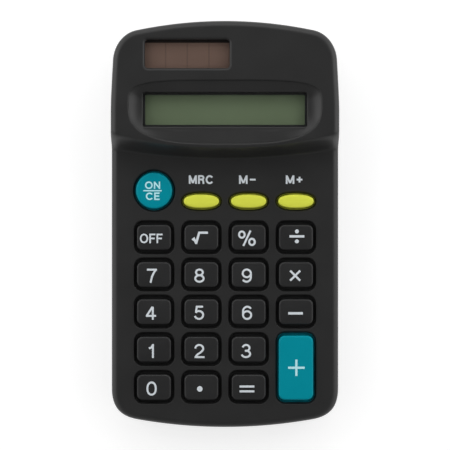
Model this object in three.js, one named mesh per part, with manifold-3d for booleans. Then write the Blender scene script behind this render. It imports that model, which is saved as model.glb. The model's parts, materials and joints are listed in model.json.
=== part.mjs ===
// Pocket calculator: a solar and battery powered desk-drawer calculator with 23 keys.
// It lies on its flat back: X is its width, Y its length with the display towards +Y,
// Z is up, out of the keypad. Millimetres, with the origin under the middle of the back.
import * as THREE from "three";
import { mergeVertices } from "three/addons/utils/BufferGeometryUtils.js";
import Module from "manifold-3d";

const wasm = await Module();
wasm.setup();

// ---- Driving dimensions ----

const GAP = 0.3; // clearance between pieces that touch on the real object

const HALF_WIDTH = 33;
const HALF_LENGTH = 58.9;
const TOP_RADIUS = 123; // the top edge, seen from above
const BOTTOM_RADIUS = 145; // the bottom edge
const EDGE_ROUND = 1.8; // round-over of the front case's outer edge
const BACK_ROUND = 1.2; // round-over of the back's outer edge
const WALL = 1.8;

const DECK_TOP = 13; // face that the keys stand in
const HEAD_TOP = 20.5; // face round the display
const PARTING = 6.5; // joint between the two cases
const STEP_FOOT = 19; // where the slope up to the head starts, on the middle line
const STEP_HEAD = 22.9; // and where it ends
const STEP_RADIUS = 150; // of the step's smile, seen from above

const BOWL = { y: 32.8, width: 56.3, height: 19, floor: 18.4, slope: 1.5 };
const BOWL_FLOOR_THICK = 2.1;
const BOWL_BLOCK = { halfWidth: 29.6, low: 22, high: 41.8 }; // solid under the bowl
const DISPLAY = { y: 33.3, width: 46.2, height: 8.7 }; // visible part of the LCD
const WINDOW = { top: 18.1, thick: 0.9, margin: 0.8 }; // margin: the ledge it stands on
const LCD = { y: 32.6, width: 50, height: 13.2, thick: 2 };

const SOLAR = { x: -10.9, y: 49.3, width: 25.6, height: 8.8 };
const SOLAR_WINDOW_TOP = 19.3;
const SOLAR_WINDOW_THICK = 0.7;
const SOLAR_CELL_THICK = 1.1;

const PITCH_X = 13.75;
const ROWS = [-3.6, -14.4, -25.2, -36.1, -47.1]; // centre lines of the black keys' rows
const ROUND_ROW = 10; // centre line of the round key
const OVAL_ROW = 6.9; // centre line of the oval keys
const CAP = { width: 9.9, height: 7.3, round: 1.6 };
const TALL = { y: -41.5, width: 10, height: 18.6, round: 1.8 };
const OVAL = { width: 10.6, height: 4.3 };
const ROUND_KEY = 10.6; // diameter
const KEY_TOP = 14.2;
const KEY_TRAVEL = 1;
const CLEARANCE = { x: 0.5, y: 0.85 }; // between a cap and its opening, on each side
const WELL = { rim: 0.5, depth: 0.5 }; // the step round each opening's edge
const FLANGE_RIM = 0.5; // how far a key's flange reaches under the case
const FLANGE_TOP = DECK_TOP - WALL - GAP;
const FLANGE_THICK = 1.2;

const BOARD = { top: 6.2, thick: 1.6, halfWidth: 28.6, low: -55, high: 36.2 };
const SHEET = { bottom: 6.5, top: 7.3, halfWidth: 27.4, low: -52.4, high: 16.6 };
const DOME_TOP = FLANGE_TOP - FLANGE_THICK - KEY_TRAVEL - GAP;

const CELL = { y: 46, z: 9.6, diameter: 14.5, length: 50.5, nub: 5.5 };
const BAY = { wallLow: 37, wallHigh: 38.2, halfWidth: 26, wallTop: 12.8, reach: 31 };
const END_WALL = { low: 42, high: 51.5, top: 14, spans: [[-30.2, -29.2], [26.5, 27.7]] };
const LEAD_NOTCH = { x: 30.3, halfWidth: 0.9, bottom: 7 }; // in the bay wall, at both ends
const DOOR = { low: 38.2, thick: 1.7, tongueLow: 0.9, tongueHalfWidth: 27 };
const GRIP = { count: 5, low: 41.6, pitch: 1.5, width: 0.7, halfLength: 5, depth: 0.4 };
const CONTACT = { thick: 0.5, width: 9, low: 3.6, high: 15 };
const SPRING = { length: 2.6, turns: 2.5, foot: 3.4, tip: 2.2, wire: 0.7, clearance: 0.8 };
const OUTSIDE = 80; // beyond the case on any side, for cuts that run out of it

const CASE_SCREWS = [
  [-28.7, 17.6],
  [28.7, 17.6],
  [-13.75, -54.3],
  [13.75, -54.3],
];
const BOARD_SCREWS = [
  [-PITCH_X, ROWS[0] - 5.4],
  [PITCH_X, ROWS[0] - 5.4],
  [0, ROWS[1] - 5.4],
  [0, ROWS[2] - 5.45],
  [-PITCH_X, ROWS[3] - 5.5],
  [0, ROWS[3] - 5.5],
];
const CASE_POST = { radius: 2, hole: 0.9 };
const BOARD_POST = { radius: 1.55, hole: 0.75 };
const BOSS = { radius: 3, low: 1, high: 3 }; // round each case screw's head
const SCREW_HOLE = 1.2; // radius
const RECESS = { radius: 2.2, depth: 1.7 };
const CASE_SCREW = { face: 0.5, head: 1.9, headThick: 0.9, shank: 0.6, length: 9.5 };
const BOARD_SCREW = { head: 1.5, headThick: 0.9, shank: 0.45, length: 5.8, hole: 1.1 };
const WIRE = 1; // diameter

const CHIP = { y: 9, radius: 5, height: 1.6 }; // a blob of resin under the board
const RESISTOR = { low: -13.6, high: -10.4, front: 21, back: 22.6, top: 0.9 };
const DIODE = { low: 10.4, high: 13.8, front: 21, back: 22.7, top: 1.6 };
const CAPACITOR = { x: 18.5, y: 32.2, radius: 2.5, top: 6 };

// ---- Materials ----

const material = (color, roughness, metalness = 0) =>
  new THREE.MeshStandardMaterial({ color, roughness, metalness });

const CASE_BLACK = () => material(0x2f3030, 0.5);
const KEY_BLACK = () => material(0x2b2b2c, 0.55);
const KEY_TEAL = () => material(0x008292, 0.45);
const KEY_YELLOW = () => material(0xccd34b, 0.45);
const BOARD_GREEN = () => material(0x1f6a3a, 0.5);
const RUBBER_GREY = () => material(0x8f9496, 0.8);
const CLEAR = () => material(0xdfe6e6, 0.05);
const LCD_GREEN = () => material(0x56624c, 0.35);
const SOLAR_BROWN = () => material(0x5f4d46, 0.3);
const NICKEL = () => material(0xb9bcc0, 0.3, 1);
const STEEL = () => material(0x8d9094, 0.35, 1);
const RESIN = () => material(0x141414, 0.4);
const CELL_JACKET = () => material(0x3a3d42, 0.4);

// ---- Solids ----

// A three.js geometry, closed and facing out, as a manifold-3d solid.
function solid(geometry) {
  const bare = geometry.clone();
  bare.deleteAttribute("normal");
  bare.deleteAttribute("uv");
  const merged = mergeVertices(bare, 1e-4);
  return new wasm.Manifold(
    new wasm.Mesh({
      numProp: 3,
      vertProperties: merged.attributes.position.array,
      triVerts: new Uint32Array(merged.index.array),
    }),
  );
}

// A manifold-3d solid as a named mesh.
function piece(name, body, skin) {
  const { vertProperties, triVerts } = body.getMesh();
  const geometry = new THREE.BufferGeometry()
    .setAttribute("position", new THREE.BufferAttribute(vertProperties, 3))
    .setIndex(new THREE.BufferAttribute(triVerts, 1));
  geometry.computeVertexNormals();
  const mesh = new THREE.Mesh(geometry, skin);
  mesh.name = name;
  return mesh;
}

// A shape standing on z = low and reaching z = high, its top edge rounded by round.
function slab(shape, low, high, round = 0, steps = 2) {
  const geometry = new THREE.ExtrudeGeometry(shape, {
    depth: high - low - 2 * round,
    curveSegments: 2,
    bevelEnabled: round > 0,
    bevelThickness: round,
    bevelSize: round,
    bevelOffset: -round,
    bevelSegments: steps,
  });
  return solid(geometry.translate(0, 0, low + round));
}

function box(x0, x1, y0, y1, z0, z1) {
  const geometry = new THREE.BoxGeometry(x1 - x0, y1 - y0, z1 - z0);
  return solid(geometry.translate((x0 + x1) / 2, (y0 + y1) / 2, (z0 + z1) / 2));
}

function rod(x, y, radius, low, high, sides = 16) {
  const geometry = new THREE.CylinderGeometry(radius, radius, high - low, sides);
  return solid(geometry.rotateX(Math.PI / 2).translate(x, y, (low + high) / 2));
}

// A round wire through points, with 8 sides.
function wire(points, diameter = WIRE, steps = 24) {
  const path = new THREE.CatmullRomCurve3(points.map((p) => new THREE.Vector3(...p)));
  const section = new THREE.Shape();
  section.absarc(0, 0, diameter / 2, 0, 2 * Math.PI);
  return solid(
    new THREE.ExtrudeGeometry(section, { steps, extrudePath: path, curveSegments: 4 }),
  );
}

// ---- Outlines, seen from above ----

// The right half of the case's outline, from the middle of the bottom edge to the
// middle of the top one: an arc, a rounded corner, the side, the shoulder, an arc.
function rightHalf(steps = 6) {
  const low = { x: 25.5, slope: 25.5 / BOTTOM_RADIUS };
  const high = { x: 25.6, slope: 25.6 / TOP_RADIUS };
  low.y = -HALF_LENGTH + (low.x * low.slope) / 2;
  high.y = HALF_LENGTH - (high.x * high.slope) / 2;
  const shoulder = { x: HALF_WIDTH - 0.65, y: 47.5 };
  const path = new THREE.Path();
  path.moveTo(0, -HALF_LENGTH);
  path.quadraticCurveTo(low.x / 2, -HALF_LENGTH, low.x, low.y);
  path.bezierCurveTo(
    low.x + 5.6, low.y + 5.6 * low.slope, HALF_WIDTH, -52.5, HALF_WIDTH, -47.5,
  );
  path.lineTo(HALF_WIDTH, 32);
  path.quadraticCurveTo(HALF_WIDTH - 0.1, 38, shoulder.x, shoulder.y);
  path.bezierCurveTo(
    shoulder.x - 0.2, shoulder.y + 4.2,
    high.x + 3.9, high.y - 3.9 * high.slope,
    high.x, high.y,
  );
  path.quadraticCurveTo(high.x / 2, HALF_LENGTH, 0, HALF_LENGTH);
  return path.getPoints(steps);
}

// The whole outline, moved inwards by inset.
function caseOutline(inset = 0) {
  const right = rightHalf();
  const left = right.slice(1, -1).map((p) => new THREE.Vector2(-p.x, p.y));
  const ring = [...right, ...left.reverse()];
  const inwards = (p, i) => {
    const before = ring[(i + ring.length - 1) % ring.length];
    const after = ring[(i + 1) % ring.length];
    const along = after.clone().sub(before).normalize();
    return new THREE.Vector2(p.x - along.y * inset, p.y + along.x * inset);
  };
  return new THREE.Shape(ring.map(inwards));
}

function roundedBox(x, y, width, height, round) {
  const shape = new THREE.Shape();
  const [left, right] = [x - width / 2, x + width / 2];
  const [low, high] = [y - height / 2, y + height / 2];
  const quarter = Math.PI / 2;
  shape.moveTo(left + round, low);
  shape.lineTo(right - round, low);
  shape.absarc(right - round, low + round, round, -quarter, 0);
  shape.lineTo(right, high - round);
  shape.absarc(right - round, high - round, round, 0, quarter);
  shape.lineTo(left + round, high);
  shape.absarc(left + round, high - round, round, quarter, 2 * quarter);
  shape.lineTo(left, low + round);
  shape.absarc(left + round, low + round, round, 2 * quarter, 3 * quarter);
  return shape;
}

// A barrel-like oval: an ellipse with fuller corners.
function oval(x, y, width, height, fullness = 2.6, points = 20) {
  const at = (i) => {
    const turn = (2 * Math.PI * i) / points;
    const [c, s] = [Math.cos(turn), Math.sin(turn)];
    return new THREE.Vector2(
      x + (width / 2) * Math.sign(c) * Math.abs(c) ** (2 / fullness),
      y + (height / 2) * Math.sign(s) * Math.abs(s) ** (2 / fullness),
    );
  };
  return new THREE.Shape(Array.from({ length: points }, (_, i) => at(i)));
}

// ---- Keys ----

// Each key's name, place and kind, row by row from the display down.
const column = (i) => (i - 1.5) * PITCH_X;
const black = (names, row) =>
  names.map((name, i) => ({ name, kind: "black", x: column(i), y: ROWS[row] }));
const KEYS = [
  { name: "key_on_ce", kind: "round", x: column(0), y: ROUND_ROW },
  { name: "key_mrc", kind: "oval", x: column(1), y: OVAL_ROW },
  { name: "key_m_minus", kind: "oval", x: column(2), y: OVAL_ROW },
  { name: "key_m_plus", kind: "oval", x: column(3), y: OVAL_ROW },
  ...black(["key_off", "key_sqrt", "key_percent", "key_divide"], 0),
  ...black(["key_7", "key_8", "key_9", "key_multiply"], 1),
  ...black(["key_4", "key_5", "key_6", "key_minus"], 2),
  ...black(["key_1", "key_2", "key_3"], 3),
  ...black(["key_0", "key_point", "key_equals"], 4),
  { name: "key_plus", kind: "tall", x: column(3), y: TALL.y },
];

// A key's outline, grown on each side by extraX and extraY.
function keyOutline(key, extraX = 0, extraY = extraX) {
  const { kind, x, y } = key;
  const sizes = {
    round: { width: ROUND_KEY, height: ROUND_KEY },
    oval: OVAL,
    tall: TALL,
    black: CAP,
  };
  const width = sizes[kind].width + 2 * extraX;
  const height = sizes[kind].height + 2 * extraY;
  if (kind === "round") return oval(x, y, width, height, 2);
  if (kind === "oval") return oval(x, y, width, height);
  return roundedBox(x, y, width, height, sizes[kind].round + extraX);
}

// A key's opening in the case, grown by extra: the long gaps are above and below the
// rounded rectangles, and the round and oval keys have the same gap all round.
function openingOutline(key, extra = 0) {
  const alike = key.kind === "round" || key.kind === "oval";
  return keyOutline(key, CLEARANCE.x + extra, (alike ? CLEARANCE.x : CLEARANCE.y) + extra);
}

function keyPiece(key) {
  const skins = { round: KEY_TEAL, tall: KEY_TEAL, oval: KEY_YELLOW, black: KEY_BLACK };
  const cap = slab(keyOutline(key), FLANGE_TOP - 0.5, KEY_TOP, 0.4, 1);
  const rim = openingOutline(key, FLANGE_RIM);
  const flange = slab(rim, FLANGE_TOP - FLANGE_THICK, FLANGE_TOP);
  return piece(key.name, cap.add(flange), skins[key.kind]());
}

// ---- Front case ----

// The head's side of the step, as a wide disc whose rim is the slope: an S in side
// view and a shallow smile from above. drop and back move its rim down and inwards.
function headDisc(drop = 0, back = 0) {
  const foot = STEP_RADIUS - back;
  const head = foot - (STEP_HEAD - STEP_FOOT);
  const [low, high] = [DECK_TOP - drop, HEAD_TOP - drop];
  const rim = new THREE.CubicBezierCurve(
    new THREE.Vector2(foot, low),
    new THREE.Vector2(foot - 2.4, low + 0.6),
    new THREE.Vector2(head + 2.2, high - 0.3),
    new THREE.Vector2(head, high),
  );
  const profile = [
    new THREE.Vector2(0, low - 2),
    new THREE.Vector2(foot, low - 2),
    ...rim.getPoints(6),
    new THREE.Vector2(head, high + 5),
    new THREE.Vector2(0, high + 5),
  ];
  const disc = new THREE.LatheGeometry(profile, 200).rotateX(Math.PI / 2);
  return solid(disc).translate([0, STEP_FOOT + STEP_RADIUS, 0]);
}

const BOWL_OUTLINE = (extra) =>
  oval(0, BOWL.y, BOWL.width + 2 * extra, BOWL.height + 2 * extra, 2.7, 32);

// The bowl round the display: a flat floor and sloping sides.
function bowlCut() {
  const floor = slab(BOWL_OUTLINE(-BOWL.slope), BOWL.floor, HEAD_TOP + 1);
  const sides = slab(BOWL_OUTLINE(0), HEAD_TOP - 3, HEAD_TOP + 3, 2.9, 2);
  const rim = slab(BOWL_OUTLINE(0), HEAD_TOP - BOWL.slope, HEAD_TOP + 1);
  const upper = box(-OUTSIDE, OUTSIDE, 0, OUTSIDE, BOWL.floor, HEAD_TOP + 2);
  return floor.add(sides.intersect(upper)).add(rim);
}

function displayCut() {
  const { y, width, height } = DISPLAY;
  const ledge = WINDOW.top - WINDOW.thick - GAP;
  const margin = 2 * WINDOW.margin;
  const mask = slab(roundedBox(0, y, width, height, 0.5), BOWL.floor - 4, ledge + 1);
  const seat = roundedBox(0, y, width + margin, height + margin, 0.8);
  return mask.add(slab(seat, ledge, BOWL.floor + 1));
}

const solarOpening = (extra) =>
  roundedBox(SOLAR.x, SOLAR.y, SOLAR.width + extra, SOLAR.height + extra, 1);

// Posts that hang from the deck down to a height, as bodies to add and thread holes
// to cut.
function posts(places, { radius, hole }, low) {
  const ceiling = DECK_TOP - WALL;
  return places.map(([x, y]) => ({
    body: rod(x, y, radius, low, ceiling + 0.1, 12),
    thread: rod(x, y, hole, low - 2, ceiling - 0.4, 12),
  }));
}

function frontCase() {
  const bottom = PARTING + GAP / 2;
  const trim = box(-OUTSIDE, OUTSIDE, -OUTSIDE, OUTSIDE, -5, bottom);
  const deck = slab(caseOutline(), bottom - 4, DECK_TOP, EDGE_ROUND);
  const head = slab(caseOutline(), bottom - 4, HEAD_TOP, EDGE_ROUND).intersect(headDisc());
  const hollow = caseOutline(WALL);
  const headHollow = slab(hollow, bottom - 1, HEAD_TOP - WALL).intersect(headDisc(WALL, 1.4));
  const { halfWidth, low, high } = BOWL_BLOCK;
  const underBowl = box(
    -halfWidth, halfWidth, low, high, BOWL.floor - BOWL_FLOOR_THICK, HEAD_TOP,
  );
  let body = deck
    .add(head)
    .subtract(trim)
    .subtract(slab(hollow, bottom - 1, DECK_TOP - WALL))
    .subtract(headHollow.subtract(underBowl));
  const hung = [
    ...posts(CASE_SCREWS, CASE_POST, bottom),
    ...posts(BOARD_SCREWS, BOARD_POST, BOARD.top + GAP),
  ];
  for (const post of hung) body = body.add(post.body);
  for (const post of hung) body = body.subtract(post.thread);
  for (const key of KEYS) {
    const opening = slab(openingOutline(key), 9, DECK_TOP + 1);
    const well = slab(openingOutline(key, WELL.rim), DECK_TOP - WELL.depth, DECK_TOP + 1);
    body = body.subtract(opening.add(well));
  }
  body = body
    .subtract(bowlCut())
    .subtract(displayCut())
    .subtract(slab(solarOpening(0), HEAD_TOP - WALL - 1, HEAD_TOP + 1));
  return piece("front_case", body, CASE_BLACK());
}

// ---- Display and solar cell ----

function displayPieces() {
  const { y, width, height } = DISPLAY;
  const margin = 2 * WINDOW.margin - 2 * GAP;
  const window = roundedBox(0, y, width + margin, height + margin, 0.6);
  const glassTop = BOWL.floor - BOWL_FLOOR_THICK - GAP;
  const glassBottom = glassTop - LCD.thick;
  const [low, high] = [LCD.y - LCD.height / 2, LCD.y + LCD.height / 2];
  const half = LCD.width / 2;
  const rubberHalf = half - 1.5;
  const rubber = box(
    -rubberHalf, rubberHalf, low + 0.2, low + 2.4, BOARD.top + GAP, glassBottom - GAP,
  );
  return [
    piece("display_window", slab(window, WINDOW.top - WINDOW.thick, WINDOW.top), CLEAR()),
    piece("lcd_panel", box(-half, half, low, high, glassBottom, glassTop), LCD_GREEN()),
    piece("lcd_connector", rubber, RUBBER_GREY()),
  ];
}

function solarPieces() {
  const windowBottom = SOLAR_WINDOW_TOP - SOLAR_WINDOW_THICK;
  const cellTop = windowBottom - GAP;
  const window = slab(solarOpening(-2 * GAP), windowBottom, SOLAR_WINDOW_TOP);
  const [halfX, halfY] = [SOLAR.width / 2 + 0.8, SOLAR.height / 2 + 0.4];
  const cell = box(
    SOLAR.x - halfX, SOLAR.x + halfX, SOLAR.y - halfY, SOLAR.y + halfY,
    cellTop - SOLAR_CELL_THICK, cellTop,
  );
  return [piece("solar_window", window, CLEAR()), piece("solar_cell", cell, SOLAR_BROWN())];
}

// ---- Rear case and battery door ----

const backShell = () => slab(caseOutline(), 0, PARTING + 4, BACK_ROUND, 2);

// What stands inside the rear case: the bay's wall, its end walls, and the pads that
// cover the door's grooves.
function bayWalls() {
  const { wallLow, wallHigh, halfWidth, wallTop, reach } = BAY;
  const sunk = WALL - 0.5; // into the floor
  const padIn = halfWidth - 0.4;
  const padTop = CONTACT.low - GAP;
  let walls = box(-reach, reach, wallLow, wallHigh, sunk, wallTop)
    .add(box(-reach, -padIn, wallHigh - 0.1, OUTSIDE, sunk, padTop))
    .add(box(padIn, reach, wallHigh - 0.1, OUTSIDE, sunk, padTop));
  for (const [from, to] of END_WALL.spans)
    walls = walls.add(box(from, to, END_WALL.low, END_WALL.high, WALL, END_WALL.top));
  return walls;
}

function rearCase() {
  const top = PARTING - GAP / 2;
  const { wallLow, wallHigh, halfWidth } = BAY;
  const inside = slab(caseOutline(WALL + 0.15), WALL, 30);
  const intoWalls = slab(caseOutline(WALL - 0.1), WALL - 0.5, 4);
  let body = backShell()
    .subtract(box(-OUTSIDE, OUTSIDE, -OUTSIDE, OUTSIDE, top, 30))
    .subtract(slab(caseOutline(WALL), WALL, 30))
    .add(bayWalls().intersect(inside.add(intoWalls)));
  for (const x of [-LEAD_NOTCH.x, LEAD_NOTCH.x]) {
    const [from, to] = [x - LEAD_NOTCH.halfWidth, x + LEAD_NOTCH.halfWidth];
    body = body.subtract(box(from, to, wallLow - 1, wallHigh + 1, LEAD_NOTCH.bottom, 20));
  }
  const near = DOOR.low - GAP;
  const over = DOOR.thick + GAP;
  const tongueEnd = DOOR.tongueHalfWidth + GAP;
  const opening = box(-halfWidth, halfWidth, near, OUTSIDE, -1, over);
  const grooves = box(-tongueEnd, tongueEnd, near, OUTSIDE, DOOR.tongueLow - GAP, over);
  const bay = box(-halfWidth, halfWidth, wallHigh, OUTSIDE, 0, PARTING);
  body = body
    .subtract(opening)
    .subtract(grooves)
    .subtract(bay.intersect(slab(caseOutline(WALL), 0, 30)));
  for (const [x, y] of CASE_SCREWS) {
    const boss = rod(x, y, BOSS.radius, BOSS.low, BOSS.high, 14).intersect(inside);
    const hole = rod(x, y, SCREW_HOLE, -1, BOSS.high + 2, 12);
    const recess = rod(x, y, RECESS.radius, -1, RECESS.depth, 14);
    body = body.add(boss).subtract(hole).subtract(recess);
  }
  return piece("rear_case", body, CASE_BLACK());
}

function batteryDoor() {
  const half = BAY.halfWidth - GAP;
  const { low, thick, tongueLow, tongueHalfWidth: tongue } = DOOR;
  const plate = box(-half, half, low, OUTSIDE, -1, thick);
  const tongues = box(-tongue, tongue, low, OUTSIDE, tongueLow, thick);
  let body = plate.add(tongues).intersect(backShell());
  for (let i = 0; i < GRIP.count; i++) {
    const y = GRIP.low + GRIP.pitch * i;
    const groove = box(-GRIP.halfLength, GRIP.halfLength, y, y + GRIP.width, -1, GRIP.depth);
    body = body.subtract(groove);
  }
  return piece("battery_door", body, CASE_BLACK());
}

// ---- Battery, contacts and wires ----

function contactPlate(x) {
  const [front, back] = [CELL.y - CONTACT.width / 2, CELL.y + CONTACT.width / 2];
  return box(x, x + CONTACT.thick, front, back, CONTACT.low, CONTACT.high);
}

// A coil that narrows from its foot on the negative contact's plate towards the cell.
function contactSpring(start) {
  const { length, turns, foot, tip, wire: thick } = SPRING;
  const count = 25;
  const coil = Array.from({ length: count + 1 }, (_, i) => {
    const share = i / count;
    const angle = 2 * Math.PI * turns * share;
    const radius = foot + (tip - foot) * share;
    return [
      start + share * length,
      CELL.y + radius * Math.cos(angle),
      CELL.z + radius * Math.sin(angle),
    ];
  });
  return wire(coil, thick, 40);
}

function batteryPieces() {
  const { y, z, diameter, length, nub } = CELL;
  const along = (body) => body.rotate([0, 90, 0]).translate([0, y, z]);
  const half = length / 2;
  const shoulder = half - 1; // where the button starts
  const can = along(rod(0, 0, diameter / 2, -half, shoulder, 28));
  const button = along(rod(0, 0, nub / 2, shoulder - 0.1, half, 14));
  const plateFace = -half - SPRING.length - SPRING.clearance;
  const sprung = contactPlate(plateFace + 0.2 - CONTACT.thick).add(
    contactSpring(plateFace + 0.25),
  );
  return [
    piece("battery_cell", can.add(button), CELL_JACKET()),
    piece("battery_contact_positive", contactPlate(half + GAP), NICKEL()),
    piece("battery_contact_negative", sprung, NICKEL()),
  ];
}

// The wires on the right; the ones on the left are their mirror images.
function leadPieces() {
  const red = () => material(0xb02a22, 0.5);
  const dark = () => material(0x1c1c1e, 0.5);
  const boardTop = BOARD.top + GAP;
  const plateX = CELL.length / 2 + GAP + CONTACT.thick / 2;
  const fromBattery = (x) => [
    [x, 41, 13.2], [(x + 30) / 2, 40.1, 12.6], [30.2, 38.9, 11.4], [30.1, 36.6, 10],
    [28.4, 34.8, 8.4], [26.4, 34, 7.6], [25.6, 34, boardTop],
  ];
  const solarEdge = SOLAR.width / 2 + 0.8 + GAP;
  const solarHeight = SOLAR_WINDOW_TOP - SOLAR_WINDOW_THICK - GAP - SOLAR_CELL_THICK / 2;
  const downTheSide = [
    [29.2, 48.5, 16.2], [29.7, 44, 15.6], [29.8, 40.5, 14.4], [29.2, 37.5, 13.9],
    [28.4, 35.4, 11.8], [27.4, 33.2, 9], [27.2, 31.5, boardTop],
  ];
  const fromSolarRight = [
    [SOLAR.x + solarEdge, 52.4, solarHeight],
    [8, 52.9, 16.9], [20, 52.9, 16.5], [26.4, 51.6, 16.3],
    ...downTheSide,
  ];
  const fromSolarLeft = [
    [solarEdge - SOLAR.x, 52.2, solarHeight],
    [27, 51.2, 17],
    ...downTheSide,
  ];
  const mirrored = (points) => points.map(([x, y, z]) => [-x, y, z]);
  return [
    piece("battery_lead_positive", wire(fromBattery(plateX)), red()),
    piece("battery_lead_negative", wire(mirrored(fromBattery(28.7))), dark()),
    piece("solar_lead_positive", wire(fromSolarRight), red()),
    piece("solar_lead_negative", wire(mirrored(fromSolarLeft)), dark()),
  ];
}

// ---- Circuit board and keypad sheet ----

function boardPieces() {
  const { top, thick, halfWidth, low, high } = BOARD;
  let board = box(-halfWidth, halfWidth, low, high, top - thick, top).intersect(
    slab(caseOutline(WALL + 0.8), 0, 20),
  );
  for (const [x, y] of CASE_SCREWS)
    board = board.subtract(rod(x, y, CASE_POST.radius + 0.5, 0, 20, 14));
  for (const [x, y] of BOARD_SCREWS)
    board = board.subtract(rod(x, y, BOARD_SCREW.hole, 0, 20, 10));
  const under = top - thick - GAP;
  const steps = 6;
  const dome = Array.from({ length: steps + 1 }, (_, i) => {
    const angle = ((Math.PI / 2) * i) / steps;
    return new THREE.Vector2(CHIP.radius * Math.sin(angle), -CHIP.height * Math.cos(angle));
  });
  const blob = new THREE.LatheGeometry([...dome, new THREE.Vector2(0, 0)], 16);
  const chip = solid(blob.rotateX(Math.PI / 2)).translate([0, CHIP.y, under]);
  const foot = top + GAP;
  const onBoard = (part) => box(part.low, part.high, part.front, part.back, foot, top + part.top);
  const { x, y, radius } = CAPACITOR;
  return [
    piece("circuit_board", board, BOARD_GREEN()),
    piece("chip_blob", chip, RESIN()),
    piece("resistor", onBoard(RESISTOR), RESIN()),
    piece("diode", onBoard(DIODE), RESIN()),
    piece("capacitor", rod(x, y, radius, foot, top + CAPACITOR.top, 16), RESIN()),
  ];
}

function rubberKeypad() {
  const { bottom, top, halfWidth, low, high } = SHEET;
  const middle = (low + high) / 2;
  const outline = roundedBox(0, middle, 2 * halfWidth, high - low, 2);
  let sheet = slab(outline, bottom, top);
  for (const { x, y } of KEYS) sheet = sheet.add(rod(x, y, 2.2, top - 0.1, DOME_TOP, 10));
  const holes = [
    ...BOARD_SCREWS.map((place) => [...place, BOARD_POST.radius + GAP]),
    ...CASE_SCREWS.map((place) => [...place, CASE_POST.radius + 0.5]),
  ];
  for (const [x, y, radius] of holes) sheet = sheet.subtract(rod(x, y, radius, 0, 20, 12));
  return piece("rubber_keypad", sheet, RUBBER_GREY());
}

// ---- Screws ----

// A screw standing point up at (x, y) with its head's face at z = low.
function screw(name, [x, y], low, { head, headThick, shank, length }) {
  const profile = [
    [0, 0.35], [head * 0.3, 0], [head, 0], [head, headThick * 0.6],
    [shank, headThick], [shank, length - 0.8], [0, length],
  ];
  const turned = new THREE.LatheGeometry(
    profile.map(([r, z]) => new THREE.Vector2(r, z)), 12,
  ).rotateX(Math.PI / 2);
  return piece(name, solid(turned).translate([x, y, low]), STEEL());
}

function screws() {
  const underBoard = BOARD.top - BOARD.thick - GAP - BOARD_SCREW.headThick;
  return [
    ...CASE_SCREWS.map((place, i) =>
      screw(`case_screw_${i + 1}`, place, CASE_SCREW.face, CASE_SCREW),
    ),
    ...BOARD_SCREWS.map((place, i) =>
      screw(`board_screw_${i + 1}`, place, underBoard, BOARD_SCREW),
    ),
  ];
}

// ---- The calculator ----

const calculator = new THREE.Group();
calculator.add(
  frontCase(),
  rearCase(),
  batteryDoor(),
  ...displayPieces(),
  ...solarPieces(),
  ...KEYS.map(keyPiece),
  rubberKeypad(),
  ...boardPieces(),
  ...batteryPieces(),
  ...leadPieces(),
  ...screws(),
);

export default calculator;
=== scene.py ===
"""The looks of a pocket calculator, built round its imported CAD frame.

Shapes are worked out in millimetres and turned into metres when a mesh is made. The
calculator lies on its back: X across, Y towards the display, Z up out of the keypad.
"""

import json
import math

import bpy
import numpy as np
from mathutils import Matrix, Vector
from mathutils.geometry import delaunay_2d_cdt

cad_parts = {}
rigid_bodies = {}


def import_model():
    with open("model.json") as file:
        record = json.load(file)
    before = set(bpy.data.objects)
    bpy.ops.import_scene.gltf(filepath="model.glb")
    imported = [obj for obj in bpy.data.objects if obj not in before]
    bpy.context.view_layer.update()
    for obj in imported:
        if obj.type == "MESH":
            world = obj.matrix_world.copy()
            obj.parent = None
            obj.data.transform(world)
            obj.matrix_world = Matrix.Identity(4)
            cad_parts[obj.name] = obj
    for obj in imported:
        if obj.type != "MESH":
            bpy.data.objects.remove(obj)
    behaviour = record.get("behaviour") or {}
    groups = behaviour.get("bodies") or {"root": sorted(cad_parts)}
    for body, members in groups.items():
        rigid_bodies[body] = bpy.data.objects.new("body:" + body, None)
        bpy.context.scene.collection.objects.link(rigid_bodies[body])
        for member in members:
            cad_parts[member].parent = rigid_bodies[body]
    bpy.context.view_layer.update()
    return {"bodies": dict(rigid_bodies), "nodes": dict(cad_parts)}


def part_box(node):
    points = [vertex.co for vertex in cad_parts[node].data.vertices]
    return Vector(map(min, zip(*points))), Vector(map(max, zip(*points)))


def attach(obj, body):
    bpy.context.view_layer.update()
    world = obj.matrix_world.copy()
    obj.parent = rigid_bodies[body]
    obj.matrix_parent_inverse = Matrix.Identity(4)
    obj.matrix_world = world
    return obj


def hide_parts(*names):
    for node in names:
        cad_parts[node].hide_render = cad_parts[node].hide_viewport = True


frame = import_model()

MM = 0.001


def box_of(node):
    """A CAD node's lowest and highest corners at rest, in millimetres."""
    low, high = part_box(node)
    return np.array(low) / MM, np.array(high) / MM


def centre_of(node):
    """The middle of a CAD node, seen from above."""
    low, high = box_of(node)
    return (low[:2] + high[:2]) / 2


def fixed(made):
    """Fixes a piece to the case."""
    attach(made, "case")
    return made


def stand_in(made, node, body="case"):
    """Puts a piece in the place of a CAD node, on a body."""
    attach(made, body)
    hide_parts(node)


# ---- Sizes that follow the frame ----

FRONT_LOW, FRONT_HIGH = box_of("front_case")
DOOR_LOW, DOOR_HIGH = box_of("battery_door")
SOLAR_LOW, SOLAR_HIGH = box_of("solar_window")
WINDOW_LOW, WINDOW_HIGH = box_of("display_window")
LCD_TOP = box_of("lcd_panel")[1][2]
CELL_LOW, CELL_HIGH = box_of("battery_cell")

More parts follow.
